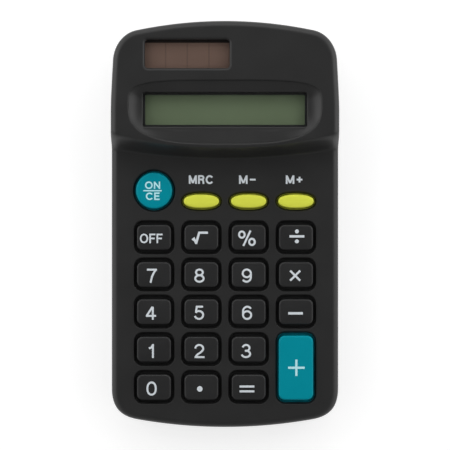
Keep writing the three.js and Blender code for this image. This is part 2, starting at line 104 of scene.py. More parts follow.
HALF_WIDTH = FRONT_HIGH[0]
HALF_LENGTH = FRONT_HIGH[1]
HEAD = FRONT_HIGH[2]  # face round the display
KEY_TOP = box_of("key_5")[1][2]
DECK = KEY_TOP - 1.2  # face that the keys stand in
FLANGE_TOP = DECK - 2.1
SEAM_LOW, SEAM_HIGH = 6.35, FRONT_LOW[2]  # the line between the two cases

WALL = 1.8
EDGE_ROUND = 1.9
BACK_ROUND = 1.2
TOP_RADIUS = 123
BOTTOM_RADIUS = 145
STEP_FOOT = {"y": 19.1, "radius": 210}  # where the step leaves the deck
STEP_HEAD = {"y": 22.5, "radius": 120}  # and where it reaches the head

BOWL = {"half": 27.7, "y": 34.9, "up": 6.75, "down": 11.4, "power": (4.0, 3.0)}
BOWL_TOP = HEAD - 0.45  # under the lip
BOWL_FLOOR = WINDOW_HIGH[2] + 0.3
# How far from the rim the bowl levels out, and how curved it is on the way.
BOWL_WIDTH = {"above": 6.5, "below": 13.0, "ends": 3.8}
BOWL_CURVE = {"middle": 1.2, "ends": 1.75}
BOWL_ENDS = (14, 27)  # the ends' slope takes over between these distances from the middle
DISPLAY = {"y": 33.3, "width": 46.2, "height": 8.7}

OPENING_GAP = {"x": 0.5, "y": 0.85}  # round the rounded rectangles; the others use x
# The wells round the keys: (how far out of an opening's edge, how far down).
WELL = [(0.65, 0), (0.54, 0.02), (0.46, 0.07), (0.4, 0.15), (0.36, 0.3)]
WELL += [(0.26, 0.7), (0.1, 0.9), (0, 1.0), (0, WALL)]


# ---- Outlines: (n, 2) arrays of points, anticlockwise from above ----


def curve(start, first, second, end, steps):
    """Points on a Bezier curve, without its end."""
    t = np.linspace(0, 1, steps, endpoint=False)[:, None]
    points = [np.array(p, float) for p in (start, first, second, end)]
    weights = [(1 - t) ** 3, 3 * t * (1 - t) ** 2, 3 * t**2 * (1 - t), t**3]
    return sum(w * p for w, p in zip(weights, points))


def case_outline():
    """The calculator from above: arcs at both ends, round corners, a narrower head."""
    low_x, high_x = 25.5, 25.6
    xs = np.linspace(0, low_x, 26, endpoint=False)
    bottom = np.column_stack([xs, -HALF_LENGTH + xs**2 / (2 * BOTTOM_RADIUS)])
    low_y = -HALF_LENGTH + low_x**2 / (2 * BOTTOM_RADIUS)
    high_y = HALF_LENGTH - high_x**2 / (2 * TOP_RADIUS)
    side_low, side_high = (HALF_WIDTH, -47.5), (HALF_WIDTH, 32)
    shoulder = (HALF_WIDTH - 0.65, 47.5)
    low_corner = curve(
        (low_x, low_y),
        (low_x + 5.6, low_y + 5.6 * low_x / BOTTOM_RADIUS),
        (HALF_WIDTH, -52.5),
        side_low,
        28,
    )
    ys = np.concatenate([np.arange(-47.5, 17, 1.5), np.arange(17, 31.9, 0.35)])
    side = np.column_stack([np.full(len(ys), HALF_WIDTH), ys])
    flank = curve(side_high, (HALF_WIDTH, 36), (shoulder[0] + 0.35, 41), shoulder, 12)
    high_corner = curve(
        shoulder,
        (shoulder[0] - 0.2, shoulder[1] + 4.2),
        (high_x + 3.9, high_y - 3.9 * high_x / TOP_RADIUS),
        (high_x, high_y),
        28,
    )
    xs = np.linspace(high_x, 0, 27)
    top = np.column_stack([xs, HALF_LENGTH - xs**2 / (2 * TOP_RADIUS)])
    right = np.concatenate([bottom, low_corner, side, flank, high_corner, top])
    left = right[1:-1][::-1] * [-1, 1]
    return np.concatenate([right, left])


def moved_in(outline, distance):
    """The outline moved inwards by a distance, point by point."""
    along = np.roll(outline, -1, axis=0) - np.roll(outline, 1, axis=0)
    along /= np.linalg.norm(along, axis=1)[:, None]
    return outline + distance * np.column_stack([-along[:, 1], along[:, 0]])


def rounded_box(x, y, width, height, round_, steps=7):
    """A rectangle with round corners, centred on (x, y)."""
    points = []
    corners = [(1, -1, -90), (1, 1, 0), (-1, 1, 90), (-1, -1, 180)]
    for side_x, side_y, start in corners:
        centre_x = x + side_x * (width / 2 - round_)
        centre_y = y + side_y * (height / 2 - round_)
        for angle in np.radians(np.linspace(start, start + 90, steps)):
            points.append(
                (centre_x + round_ * math.cos(angle), centre_y + round_ * math.sin(angle))
            )
    return np.array(points)


def squared_oval(x, y, half_x, up, down, power, count=120):
    """A superellipse whose upper and lower halves may differ in height and power."""
    turn = np.linspace(0, 2 * math.pi, count, endpoint=False)
    c, s = np.cos(turn), np.sin(turn)
    power = np.where(s > 0, *np.broadcast_to(power, 2))
    px = x + half_x * np.sign(c) * np.abs(c) ** (2 / power)
    py = y + np.where(s > 0, up, down) * np.sign(s) * np.abs(s) ** (2 / power)
    return np.column_stack([px, py])


def smooth(t):
    """An S from 0 to 1 that holds both ends."""
    t = np.clip(t, 0, 1)
    return t * t * (3 - 2 * t)


def step_lines(x):
    """Where the step leaves the deck and where it reaches the head, across the case."""
    foot = STEP_FOOT["y"] + x**2 / (2 * STEP_FOOT["radius"])
    head = STEP_HEAD["y"] + x**2 / (2 * STEP_HEAD["radius"])
    return foot, head


def case_top(points):
    """The height of the front case's upper face: deck, S-shaped step and head."""
    x, y = points[:, 0], points[:, 1]
    foot, head = step_lines(x)
    return DECK + (HEAD - DECK) * smooth((y - foot) / (head - foot))


# ---- Meshes ----


def inside(points, outline):
    """Which points lie inside an outline."""
    x, y = points[:, 0][:, None], points[:, 1][:, None]
    x0, y0 = outline[:, 0], outline[:, 1]
    x1, y1 = np.roll(x0, -1), np.roll(y0, -1)
    crosses = (y0 > y) != (y1 > y)
    with np.errstate(divide="ignore", invalid="ignore"):
        at = (x1 - x0) * (y - y0) / (y1 - y0) + x0
    return np.count_nonzero(crosses & (x < at), axis=1) % 2 == 1


class Shell:
    """A mesh in the making: rings of points that are bridged, capped and filled."""

    def __init__(self):
        self.points = []
        self.faces = []

    def ring(self, outline, height):
        """Adds a closed ring at a height (a number, or one per point)."""
        start = len(self.points)
        heights = np.broadcast_to(height, len(outline))
        self.points.extend((x, y, z) for (x, y), z in zip(outline, heights))
        return list(range(start, len(self.points)))

    def bridge(self, *rings):
        """Joins each ring to the next. Rising anticlockwise rings face outwards."""
        for low, high in zip(rings, rings[1:]):
            count = len(low)
            for i in range(count):
                j = (i + 1) % count
                self.faces.append((low[i], low[j], high[j], high[i]))

    def cap(self, ring, up=True):
        """Closes a ring with a fan round its middle."""
        spots = np.array([self.points[i] for i in ring])
        self.points.append(tuple(spots.mean(axis=0)))
        middle = len(self.points) - 1
        for i, j in zip(ring, ring[1:] + ring[:1]):
            self.faces.append((i, j, middle) if up else (j, i, middle))

    def fill(self, outer, holes=(), up=True, extra=None, height=None):
        """Fills between an outer ring and holes, through extra points if given."""
        rings = [outer, *holes]
        index = [i for ring in rings for i in ring]
        flat = [Vector(self.points[i][:2]) for i in index]
        edges = []
        start = 0
        for ring in rings:
            count = len(ring)
            edges += [(start + i, start + (i + 1) % count) for i in range(count)]
            start += count
        if extra is not None:
            first = len(self.points)
            self.points.extend((x, y, z) for (x, y), z in zip(extra, height))
            index += range(first, len(self.points))
            flat += [Vector(p) for p in extra]
        _, _, triangles, origins, _, _ = delaunay_2d_cdt(flat, edges, [], 0, 1e-7)
        triangles = np.array([[index[origins[v][0]] for v in t] for t in triangles])
        spots = np.array(self.points)[:, :2]
        middles = spots[triangles].mean(axis=1)
        keep = inside(middles, spots[outer])
        for hole in holes:
            keep &= ~inside(middles, spots[hole])
        for a, b, c in triangles[keep].tolist():
            area = np.cross(spots[b] - spots[a], spots[c] - spots[a])
            self.faces.append((a, b, c) if (area > 0) == up else (a, c, b))

    def object(self, name, material, sharp=35):
        """The mesh as a Blender object, smooth except at edges sharper than sharp."""
        mesh = bpy.data.meshes.new(name)
        mesh.from_pydata([Vector(p) * MM for p in self.points], [], self.faces)
        mesh.validate()
        mesh.materials.append(material)
        made = bpy.data.objects.new(name, mesh)
        bpy.context.scene.collection.objects.link(made)
        return shaded(made, sharp)


def shaded(piece, sharp=35):
    """Smooth shading that leaves flat faces flat and edges sharper than sharp hard."""
    piece.data.shade_smooth()
    piece.data.set_sharp_from_angle(angle=math.radians(sharp))
    weighted = piece.modifiers.new("flat faces stay flat", "WEIGHTED_NORMAL")
    weighted.keep_sharp = True
    return piece


def prism(outline, low, high):
    """A closed solid with upright sides."""
    shell = Shell()
    rings = [shell.ring(outline, low), shell.ring(outline, high)]
    shell.bridge(*rings)
    shell.cap(rings[0], up=False)
    shell.cap(rings[1])
    return shell.object("tool", CASE)


def block(x0, x1, y0, y1, z0, z1):
    """A closed box between two corners."""
    outline = np.array([(x0, y0), (x1, y0), (x1, y1), (x0, y1)], float)
    return prism(outline, z0, z1)


def combine(piece, tool, operation):
    """Changes a piece with a tool, which is used up."""
    piece.modifiers.clear()
    change = piece.modifiers.new("change", "BOOLEAN")
    change.operation = operation
    change.solver = "EXACT"
    change.object = tool
    evaluated = piece.evaluated_get(bpy.context.evaluated_depsgraph_get())
    mesh = bpy.data.meshes.new_from_object(evaluated)
    piece.modifiers.clear()
    piece.data = mesh
    bpy.data.objects.remove(tool)
    return piece


def join(piece, tool):
    """Adds a tool to a piece."""
    return combine(piece, tool, "UNION")


def cut(piece, tool):
    """Takes a tool out of a piece."""
    return combine(piece, tool, "DIFFERENCE")


def trim(piece, tool):
    """Keeps only what lies inside a tool."""
    return combine(piece, tool, "INTERSECT")


def softened(piece, width=0.12, steps=2, angle=50):
    """Rounds the edges that are sharper than an angle."""
    bevel = piece.modifiers.new("soft edges", "BEVEL")
    bevel.width = width * MM
    bevel.segments = steps
    bevel.limit_method = "ANGLE"
    bevel.angle_limit = math.radians(angle)
    return piece


def soft_box(name, low, high, material, edge):
    """A box with rounded edges between two corners."""
    made = block(low[0], high[0], low[1], high[1], low[2], high[2])
    made.name = name
    made.data.materials[0] = material
    return shaded(softened(made, edge, 3))


def quarter(steps=6):
    """(how far in, how far down from the top) along a quarter round of radius 1."""
    angles = np.linspace(0, math.pi / 2, steps + 1)
    return [(1 - math.cos(a), 1 - math.sin(a)) for a in angles]


# ---- Materials ----


def math_node(tree, operation, *values):
    """A Math node fed by numbers or by other nodes' outputs."""
    node = tree.nodes.new("ShaderNodeMath")
    node.operation = operation
    for socket, value in zip(node.inputs, values):
        if isinstance(value, (int, float)):
            socket.default_value = value
        else:
            tree.links.new(value, socket)
    return node.outputs["Value"]


def ramp(tree, value, source, target, smooth_ends=False):
    """Maps a value from one range to another, and holds it at the ends."""
    node = tree.nodes.new("ShaderNodeMapRange")
    node.interpolation_type = "SMOOTHSTEP" if smooth_ends else "LINEAR"
    for name, number in zip(("From Min", "From Max", "To Min", "To Max"), source + target):
        node.inputs[name].default_value = number
    tree.links.new(value, node.inputs["Value"])
    return node.outputs["Result"]


def position(tree, kind="Object"):
    """The X, Y and Z of the point that is shaded, in metres, or of a direction."""
    place = tree.nodes.get("Texture Coordinate") or tree.nodes.new("ShaderNodeTexCoord")
    split = tree.nodes.new("ShaderNodeSeparateXYZ")
    tree.links.new(place.outputs[kind], split.inputs["Vector"])
    return [split.outputs[axis] for axis in "XYZ"]


def plastic(name, colour, roughness, grain=0.02, grain_size=0.3, mottle=0.15):
    """Moulded plastic: a fine sparked grain, and slight patches in colour and gloss."""
    material = bpy.data.materials.new(name)
    material.use_nodes = True
    nodes, links = material.node_tree.nodes, material.node_tree.links
    shader = nodes["Principled BSDF"]
    place = nodes.new("ShaderNodeTexCoord")
    patches = nodes.new("ShaderNodeTexNoise")
    patches.inputs["Scale"].default_value = 90
    patches.inputs["Detail"].default_value = 3
    tint = nodes.new("ShaderNodeMix")
    tint.data_type = "RGBA"
    tint.inputs["A"].default_value = (*[c * (1 - mottle) for c in colour], 1)
    tint.inputs["B"].default_value = (*[c * (1 + mottle) for c in colour], 1)
    gloss = nodes.new("ShaderNodeMapRange")
    gloss.inputs["To Min"].default_value = roughness - 0.05
    gloss.inputs["To Max"].default_value = roughness + 0.05
    fine = nodes.new("ShaderNodeTexNoise")
    fine.inputs["Scale"].default_value = 1 / (grain_size * MM)
    fine.inputs["Detail"].default_value = 2
    bump = nodes.new("ShaderNodeBump")
    bump.inputs["Strength"].default_value = 0.6
    bump.inputs["Distance"].default_value = grain * MM
    for texture in (patches, fine):
        links.new(place.outputs["Object"], texture.inputs["Vector"])
    links.new(patches.outputs["Fac"], tint.inputs["Factor"])
    links.new(patches.outputs["Fac"], gloss.inputs["Value"])
    links.new(tint.outputs["Result"], shader.inputs["Base Color"])
    links.new(gloss.outputs["Result"], shader.inputs["Roughness"])
    links.new(fine.outputs["Fac"], bump.inputs["Height"])
    links.new(bump.outputs["Normal"], shader.inputs["Normal"])
    return material


def tuned(material, **values):
    """Sets constants on a material's shader."""
    shader = material.node_tree.nodes["Principled BSDF"]
    for name, value in values.items():
        shader.inputs[name.replace("_", " ")].default_value = value
    return material


def recoloured(material, share, colour):
    """Mixes a colour into a plastic where share is 1."""
    nodes, links = material.node_tree.nodes, material.node_tree.links
    mix = nodes.new("ShaderNodeMix")
    mix.data_type = "RGBA"
    mix.inputs["B"].default_value = (*colour, 1)
    links.new(share, mix.inputs["Factor"])
    links.new(nodes["Mix"].outputs["Result"], mix.inputs["A"])
    links.new(mix.outputs["Result"], nodes["Principled BSDF"].inputs["Base Color"])
    return material


CASE = plastic("case_plastic", (0.018, 0.018, 0.018), 0.45)
KEY_BLACK = plastic("key_plastic", (0.015, 0.015, 0.0154), 0.45, grain=0.01)
KEY_TEAL = plastic("teal_plastic", (0.0, 0.273, 0.348), 0.42, grain=0.008, mottle=0.05)
KEY_YELLOW = plastic("yellow_plastic", (0.755, 0.8, 0.081), 0.42, grain=0.008, mottle=0.04)
PRINT = plastic("legend_print", (0.69, 0.74, 0.78), 0.5, grain=0.004, mottle=0.03)
TEAL_PRINT = plastic("legend_print_on_teal", (0.52, 0.87, 0.92), 0.5, grain=0.004, mottle=0.03)
for material, gloss in (
    (CASE, 0.4),
    (KEY_BLACK, 0.4),
    (KEY_YELLOW, 0.2),
    (PRINT, 0.2),
    (TEAL_PRINT, 0.2),
    (KEY_TEAL, 0.1),
):
    tuned(material, Specular_IOR_Level=gloss)


# ---- Keys ----

KINDS = {
    "key_on_ce": "round",
    "key_plus": "tall",
    "key_mrc": "oval",
    "key_m_minus": "oval",
    "key_m_plus": "oval",
}
CAP_ROUND = {"black": 1.6, "tall": 1.8}  # the corners of the rounded rectangles
CAP_SIZE = {
    "black": (9.9, 7.3),
    "tall": (10.0, 18.6),
    "oval": (10.25, 3.9),
    "round": (10.5, 10.5),
}
CAP_SKIN = {
    "black": (KEY_BLACK, "key_black"),
    "tall": (KEY_TEAL, "key_teal"),
    "oval": (KEY_YELLOW, "key_yellow"),
    "round": (KEY_TEAL, "key_teal"),
}
KEY_NAMES = sorted(body for body in frame["bodies"] if body.startswith("key_"))


def key_outline(name, extra_x=0.0, extra_y=None):
    """A key's outline, grown on each side."""
    kind = KINDS.get(name, "black")
    extra_y = extra_x if extra_y is None else extra_y
    x, y = centre_of(name)
    width = CAP_SIZE[kind][0] + 2 * extra_x
    height = CAP_SIZE[kind][1] + 2 * extra_y
    if kind in CAP_ROUND:
        return rounded_box(x, y, width, height, CAP_ROUND[kind] + extra_x)
    power = 2 if kind == "round" else 2.35
    return squared_oval(x, y, width / 2, height / 2, height / 2, power, 56)


def opening_outline(name, extra=0.0):
    """The outline of a key's opening in the case, grown by extra."""
    gap_x = OPENING_GAP["x"]
    gap_y = OPENING_GAP["y"] if KINDS.get(name, "black") in CAP_ROUND else gap_x
    return key_outline(name, gap_x + extra, gap_y + extra)


CAP_EDGE = 0.5  # round-over of a cap's upper edge
CAP_CROWN = 0.14  # how far a cap's middle stands over its edge


def cap_height(name, points):
    """The height of a key's top face at some points."""
    kind = KINDS.get(name, "black")
    half = np.array(CAP_SIZE[kind]) / 2 - CAP_EDGE
    share = np.abs(points - centre_of(name)) / half
    reach = np.sum(share**4, axis=1) ** 0.25
    return KEY_TOP - CAP_CROWN * np.clip(reach, 0, 1) ** 2.5


def make_key(name):
    """A key: its flange behind the case, straight sides, a rolled edge and a crowned top."""
    kind = KINDS.get(name, "black")
    low, _ = box_of(name)
    shell = Shell()
    foot = opening_outline(name, 0.5)
    cap = key_outline(name)
    edge = KEY_TOP - CAP_CROWN
    rings = [
        shell.ring(moved_in(foot, 0.2), low[2]),
        shell.ring(foot, low[2] + 0.2),
        shell.ring(foot, FLANGE_TOP - 0.15),
        shell.ring(moved_in(foot, 0.15), FLANGE_TOP),
        shell.ring(key_outline(name, 0.12), FLANGE_TOP),
        shell.ring(key_outline(name, 0.06), FLANGE_TOP + 0.2),
    ]
    for inwards, down in quarter():
        outline = moved_in(cap, CAP_EDGE * inwards)
        rings.append(shell.ring(outline, edge - CAP_EDGE * down))
    centre = centre_of(name)
    face = moved_in(cap, CAP_EDGE)
    for share in (0.88, 0.72, 0.5, 0.25):
        inner = centre + (face - centre) * share
        rings.append(shell.ring(inner, cap_height(name, inner)))
    shell.bridge(*rings)
    shell.cap(rings[-1])
    shell.cap(rings[0], up=False)
    material, slot = CAP_SKIN[kind]
    stand_in(shell.object(name + "_cap", material, sharp=50), name, body=name)


for key in KEY_NAMES:
    make_key(key)


# ---- Legends: strokes of even width, in boxes one unit high ----


def bow(x, y, half_x, half_y, start, end, steps=16):
    """Points along an elliptical arc, from one angle in degrees to another."""
    angles = np.radians(np.linspace(start, end, steps))
    return [(x + half_x * math.cos(a), y + half_y * math.sin(a)) for a in angles]


def loop(x, y, half_x, half_y, power=2.0):
    """A closed oval stroke: its last point repeats its first."""
    points = squared_oval(x, y, half_x, half_y, half_y, power, 32).tolist()
    return points + points[:1]


def turned(points):
    """Points turned by half a circle round the middle of a digit."""
    return [(0.62 - x, 1 - y) for x, y in points]


SIX_TAIL = bow(0.33, 0.62, 0.32, 0.38, 35, 180) + [(0.01, 0.31)]

# Each glyph's width and strokes.
GLYPHS = {
    "0": (0.62, [loop(0.31, 0.5, 0.31, 0.5, 2.2)]),
    "1": (
        0.36,
        [[(0.36, -0.07), (0.36, 1.07)], [(0, 0.73), (0.16, 0.76), (0.28, 0.86), (0.34, 1)]],
    ),
    "2": (
        0.62,
        [
            bow(0.31, 0.7, 0.29, 0.3, 178, -28) + [(0.44, 0.42), (0.16, 0.2), (0.03, 0)],
            [(-0.03, 0), (0.7, 0)],
        ],
    ),
    "3": (
        0.62,
        [
            bow(0.31, 0.755, 0.25, 0.245, 170, -90),
            bow(0.3, 0.265, 0.31, 0.265, 90, -170),
            [(0.22, 0.52), (0.36, 0.52)],
        ],
    ),
    "4": (
        0.66,
        [[(0.48, -0.07), (0.48, 1.0)], [(0.46, 1), (0.02, 0.29)], [(-0.06, 0.25), (0.74, 0.25)]],
    ),
    "5": (
        0.62,
        [
            [(0.6, 1), (0.14, 1), (0.07, 0.5)],
            [(0.07, 0.5)] + bow(0.3, 0.325, 0.31, 0.325, 128, -165),
        ],
    ),
    "6": (0.62, [loop(0.31, 0.315, 0.3, 0.315), SIX_TAIL]),
    "7": (0.6, [[(-0.06, 1), (0.66, 1)], [(0.58, 1), (0.44, 0.76), (0.31, 0.45), (0.2, -0.07)]]),
    "8": (0.62, [loop(0.31, 0.765, 0.25, 0.235), loop(0.31, 0.265, 0.31, 0.265)]),
    "9": (0.62, [loop(0.31, 0.685, 0.3, 0.315), turned(SIX_TAIL)]),
    "O": (0.84, [loop(0.42, 0.5, 0.42, 0.5, 2.1)]),
    "F": (0.56, [[(0, -0.1), (0, 1), (0.66, 1)], [(0, 0.5), (0.58, 0.5)]]),
    "N": (0.66, [[(0, -0.1), (0, 1.1)], [(0, 1), (0.66, 0)], [(0.66, -0.1), (0.66, 1.1)]]),
    "C": (0.78, [bow(0.42, 0.5, 0.42, 0.5, 36, 324, 24)]),
    "E": (0.54, [[(0.64, 1), (0, 1), (0, 0), (0.64, 0)], [(0, 0.52), (0.58, 0.52)]]),
    "M": (
        0.84,
        [
            [(0, -0.1), (0, 1.1)],
            [(0.03, 1), (0.42, 0.02)],
            [(0.81, 1), (0.42, 0.02)],
            [(0.84, -0.1), (0.84, 1.1)],
        ],
    ),
    "R": (
        0.62,
        [
            [(0, -0.1), (0, 1.1)],
            [(0, 1), (0.36, 1)] + bow(0.36, 0.76, 0.25, 0.24, 80, -80) + [(0.36, 0.52), (0, 0.52)],
            [(0.34, 0.52), (0.54, 0.42), (0.58, 0.2), (0.62, -0.1)],
        ],
    ),
    "root": (1.4, [[(0.02, 0.34), (0.18, 0.46), (0.4, 0.02)], [(0.36, 0), (0.66, 1), (1.48, 1)]]),
    "percent": (
        1.1,
        [
            loop(0.2, 0.77, 0.2, 0.23),
            loop(0.92, 0.23, 0.2, 0.23),
            [(0.3, -0.07), (0.82, 1.07)],
        ],
    ),
    "plus": (1.0, [[(0, 0.5), (1, 0.5)], [(0.5, 0), (0.5, 1)]]),
    "minus": (1.0, [[(0, 0.5), (1, 0.5)]]),
    "times": (1.0, [[(0, 0), (1, 1)], [(0, 1), (1, 0)]]),
    "equals": (1.0, [[(0, 0), (1, 0)], [(0, 1), (1, 1)]]),
    "ring": (1.0, [loop(0.5, 0.5, 0.5, 0.5)]),
}
LETTER_GAP = 0.34  # bare space between the letters of a word
PRINT_THICK = 0.04
PRINT_STEP = 0.5  # longest straight piece of a stroke, so that it follows a curved key


def dense(points):
    """The points with more between them, so that no two are far apart."""
    spots = []
    for start, end in zip(points, points[1:]):
        count = max(1, math.ceil(math.dist(start, end) / PRINT_STEP))
        for share in np.linspace(0, 1, count, endpoint=False):
            spots.append(tuple(np.array(start) * (1 - share) + np.array(end) * share))
    return np.array([*spots, tuple(points[-1])])


def stroke_quads(points, width):
    """A stroke as one four-sided polygon for each of its segments, mitred."""
    points = dense(points)
    closed = len(points) > 2 and np.allclose(points[0], points[-1])
    steps = np.diff(points, axis=0)
    steps /= np.linalg.norm(steps, axis=1)[:, None]
    before = np.vstack([steps[-1:] if closed else steps[:1], steps])
    after = np.vstack([steps, steps[:1] if closed else steps[-1:]])
    normals = [np.column_stack([-s[:, 1], s[:, 0]]) for s in (before, after)]
    mitre = normals[0] + normals[1]
    mitre /= np.maximum(np.sum(mitre * normals[1], axis=1), 0.5)[:, None]
    left, right = points + mitre * width / 2, points - mitre * width / 2
    return [(right[i], right[i + 1], left[i + 1], left[i]) for i in range(len(steps))]


def print_legend(name, body, words, height_at, ink=PRINT):
    """Prints words, each (glyphs, x, y, width, height, stroke), as one thin solid."""
    polygons = []
    for glyphs, x, y, width, height, stroke in words:
        space = LETTER_GAP + stroke
        tall, wide = height - stroke, width - stroke
        letters = wide - space * (len(glyphs) - 1)
        scale = letters / sum(GLYPHS[g][0] for g in glyphs)
        at = x - wide / 2
        for glyph in glyphs:
            glyph_width, strokes = GLYPHS[glyph]
            for points in strokes:
                spots = [(at + px * scale, y + (py - 0.5) * tall) for px, py in points]
                polygons += stroke_quads(spots, stroke)
            at += glyph_width * scale + space
    made = flat_solid(name, polygons, height_at, ink)
    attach(made, body)


def flat_solid(name, polygons, height_at, material):
    """Overlapping polygons as one thin solid that lies on a surface."""
    flat = [Vector(p) for polygon in polygons for p in polygon]
    corners = [list(range(4 * i, 4 * i + 4)) for i in range(len(polygons))]
    spots, _, faces, _, _, owners = delaunay_2d_cdt(flat, [], corners, 0, 1e-6)
    faces = [face for face, owner in zip(faces, owners) if owner]
    spots = np.array([tuple(p) for p in spots])
    shell = Shell()
    heights = height_at(spots)
    low = shell.ring(spots, heights - PRINT_THICK)
    high = shell.ring(spots, heights + PRINT_THICK)
    sides = set()
    for face in faces:
        shell.faces.append(tuple(high[i] for i in face))
        shell.faces.append(tuple(low[i] for i in reversed(face)))
        for side in zip(face, face[1:] + face[:1]):
            sides.add(side)
    for a, b in sorted(sides):
        if (b, a) not in sides:
            shell.faces.append((low[a], low[b], high[b], high[a]))
    return shell.object(name, material)


# What each key says: glyphs, offset from the key's centre, width, height, stroke.
DIGIT = (3.0, 4.1, 0.56)
LEGENDS = {
    "key_7": [(["7"], -0.6, -0.35, *DIGIT)],
    "key_8": [(["8"], -0.55, -0.3, *DIGIT)],
    "key_9": [(["9"], -0.55, -0.3, *DIGIT)],
    "key_4": [(["4"], -0.9, -0.3, *DIGIT)],
    "key_5": [(["5"], -0.65, -0.3, *DIGIT)],
    "key_6": [(["6"], -0.45, -0.3, *DIGIT)],
    "key_1": [(["1"], -0.9, -0.5, 1.75, 4.1, 0.56)],
    "key_2": [(["2"], -0.6, -0.5, *DIGIT)],
    "key_3": [(["3"], -0.75, -0.5, *DIGIT)],
    "key_0": [(["0"], -0.7, -0.4, *DIGIT)],
    "key_point": [(["ring"], -0.45, -0.5, 1.6, 1.6, 0.76)],
    "key_equals": [(["equals"], -0.5, -0.5, 4.9, 2.0, 0.6)],
    "key_plus": [(["plus"], 0.1, 0.05, 5.45, 5.4, 0.64)],
    "key_minus": [(["minus"], -0.15, -0.45, 5.0, 0.72, 0.72)],
    "key_multiply": [(["times"], -0.25, -0.3, 3.5, 3.5, 0.6)],
    "key_divide": [
        (["minus"], 0.25, 0.3, 5.0, 0.68, 0.68),
        (["ring"], 0.25, 1.75, 1.15, 1.15, 0.55),
        (["ring"], 0.25, -1.15, 1.15, 1.15, 0.55),
    ],
    "key_percent": [(["percent"], -0.55, -0.25, 5.05, 4.5, 0.58)],
    "key_sqrt": [(["root"], -0.5, -0.25, 5.0, 3.9, 0.66)],
    "key_off": [(["O", "F", "F"], -0.8, -0.3, 6.6, 2.76, 0.46)],
    "key_on_ce": [
        (["O", "N"], -0.4, 1.55, 4.4, 2.2, 0.42),
        (["minus"], -0.42, -0.05, 5.75, 0.36, 0.36),
        (["C", "E"], -0.36, -1.65, 4.0, 2.2, 0.42),
    ],
}
for key, words in LEGENDS.items():
    centre_x, centre_y = centre_of(key)
    placed = [(g, centre_x + dx, centre_y + dy, *sizes) for g, dx, dy, *sizes in words]
    ink = TEAL_PRINT if CAP_SKIN[KINDS.get(key, "black")][0] is KEY_TEAL else PRINT
    print_legend("legend_" + key, key, placed, lambda spots, key=key: cap_height(key, spots), ink)

LABEL_Y = 13.2
CASE_LEGENDS = {
    "key_mrc": [(["M", "R", "C"], -0.1, 7.1, 2.6, 0.53)],
    "key_m_minus": [(["M"], -1.55, 2.5, 2.6, 0.53), (["minus"], 1.2, 2.2, 0.53, 0.53)],
    "key_m_plus": [(["M"], -1.7, 2.5, 2.6, 0.53), (["plus"], 1.05, 2.2, 2.2, 0.53)],
}
for key, words in CASE_LEGENDS.items():
    centre_x = centre_of(key)[0]
    placed = [(g, centre_x + dx, LABEL_Y, *sizes) for g, dx, *sizes in words]
    print_legend("legend_" + key, "case", placed, case_top)

# ---- Front case ----

LIP_LOW, LIP_HIGH = 0.95, 7.4  # the rear case's lip stands in a rebate of the front case
SCREW_POST, BOARD_POST, THREAD_HOLE = 2.0, 1.55, 0.75  # radii
CEILING_SHIFT = 1.2  # how far the step of the ceiling lies behind the step outside
CASE_SCREWS = sorted(node for node in frame["nodes"] if node.startswith("case_screw"))
BOARD_SCREWS = sorted(node for node in frame["nodes"] if node.startswith("board_screw"))


def rounded_lip(round_, steps=6):
    """(how far out, how far down) along a lip that rolls over into an opening."""
    angles = np.linspace(0, math.pi / 2, steps)
    return [(round_ * (1 - math.sin(a)), round_ * (1 - math.cos(a))) for a in angles]


def circle(x, y, radius, count=20):
    """A circle of straight sides."""
    turn = np.linspace(0, 2 * math.pi, count, endpoint=False)
    return np.column_stack([x + radius * np.cos(turn), y + radius * np.sin(turn)])


def step_points(lift=0.0):
    """Points across the step, dense enough for its S to be smooth."""
    spots = []
    limit = HALF_WIDTH - EDGE_ROUND - 0.7
    columns, rows = 125, 17
    for x in np.linspace(-limit, limit, columns):
        spots += [(x, y + lift) for y in np.linspace(*step_lines(x), rows)]
    return np.array(spots)


def bowl_rim(out=0.0):
    """The rim of the display's bowl, grown by out."""
    up, down = BOWL["up"], BOWL["down"]
    return moved_in(squared_oval(0, BOWL["y"], BOWL["half"], up, down, BOWL["power"], 160), -out)


def bowl_height(points):
    """The bowl's surface: it sinks from the rim, steeply at the ends, and levels out."""
    rim = bowl_rim()
    inwards = bowl_rim(-1) - rim
    near = np.linalg.norm(points[:, None] - rim[None], axis=2).argmin(axis=1)
    distance = np.sum((points - rim[near]) * inwards[near], axis=1)
    start, end = BOWL_ENDS
    sideways = smooth((np.abs(points[:, 0]) - start) / (end - start))
    below = smooth(0.5 - (points[:, 1] - DISPLAY["y"]) / DISPLAY["height"])
    width = BOWL_WIDTH["above"] + (BOWL_WIDTH["below"] - BOWL_WIDTH["above"]) * below
    width += (BOWL_WIDTH["ends"] - width) * sideways
    power = BOWL_CURVE["middle"] + (BOWL_CURVE["ends"] - BOWL_CURVE["middle"]) * sideways
    share = np.clip(distance / width, 0, 1)
    return BOWL_TOP - (BOWL_TOP - BOWL_FLOOR) * (1 - (1 - share) ** power)


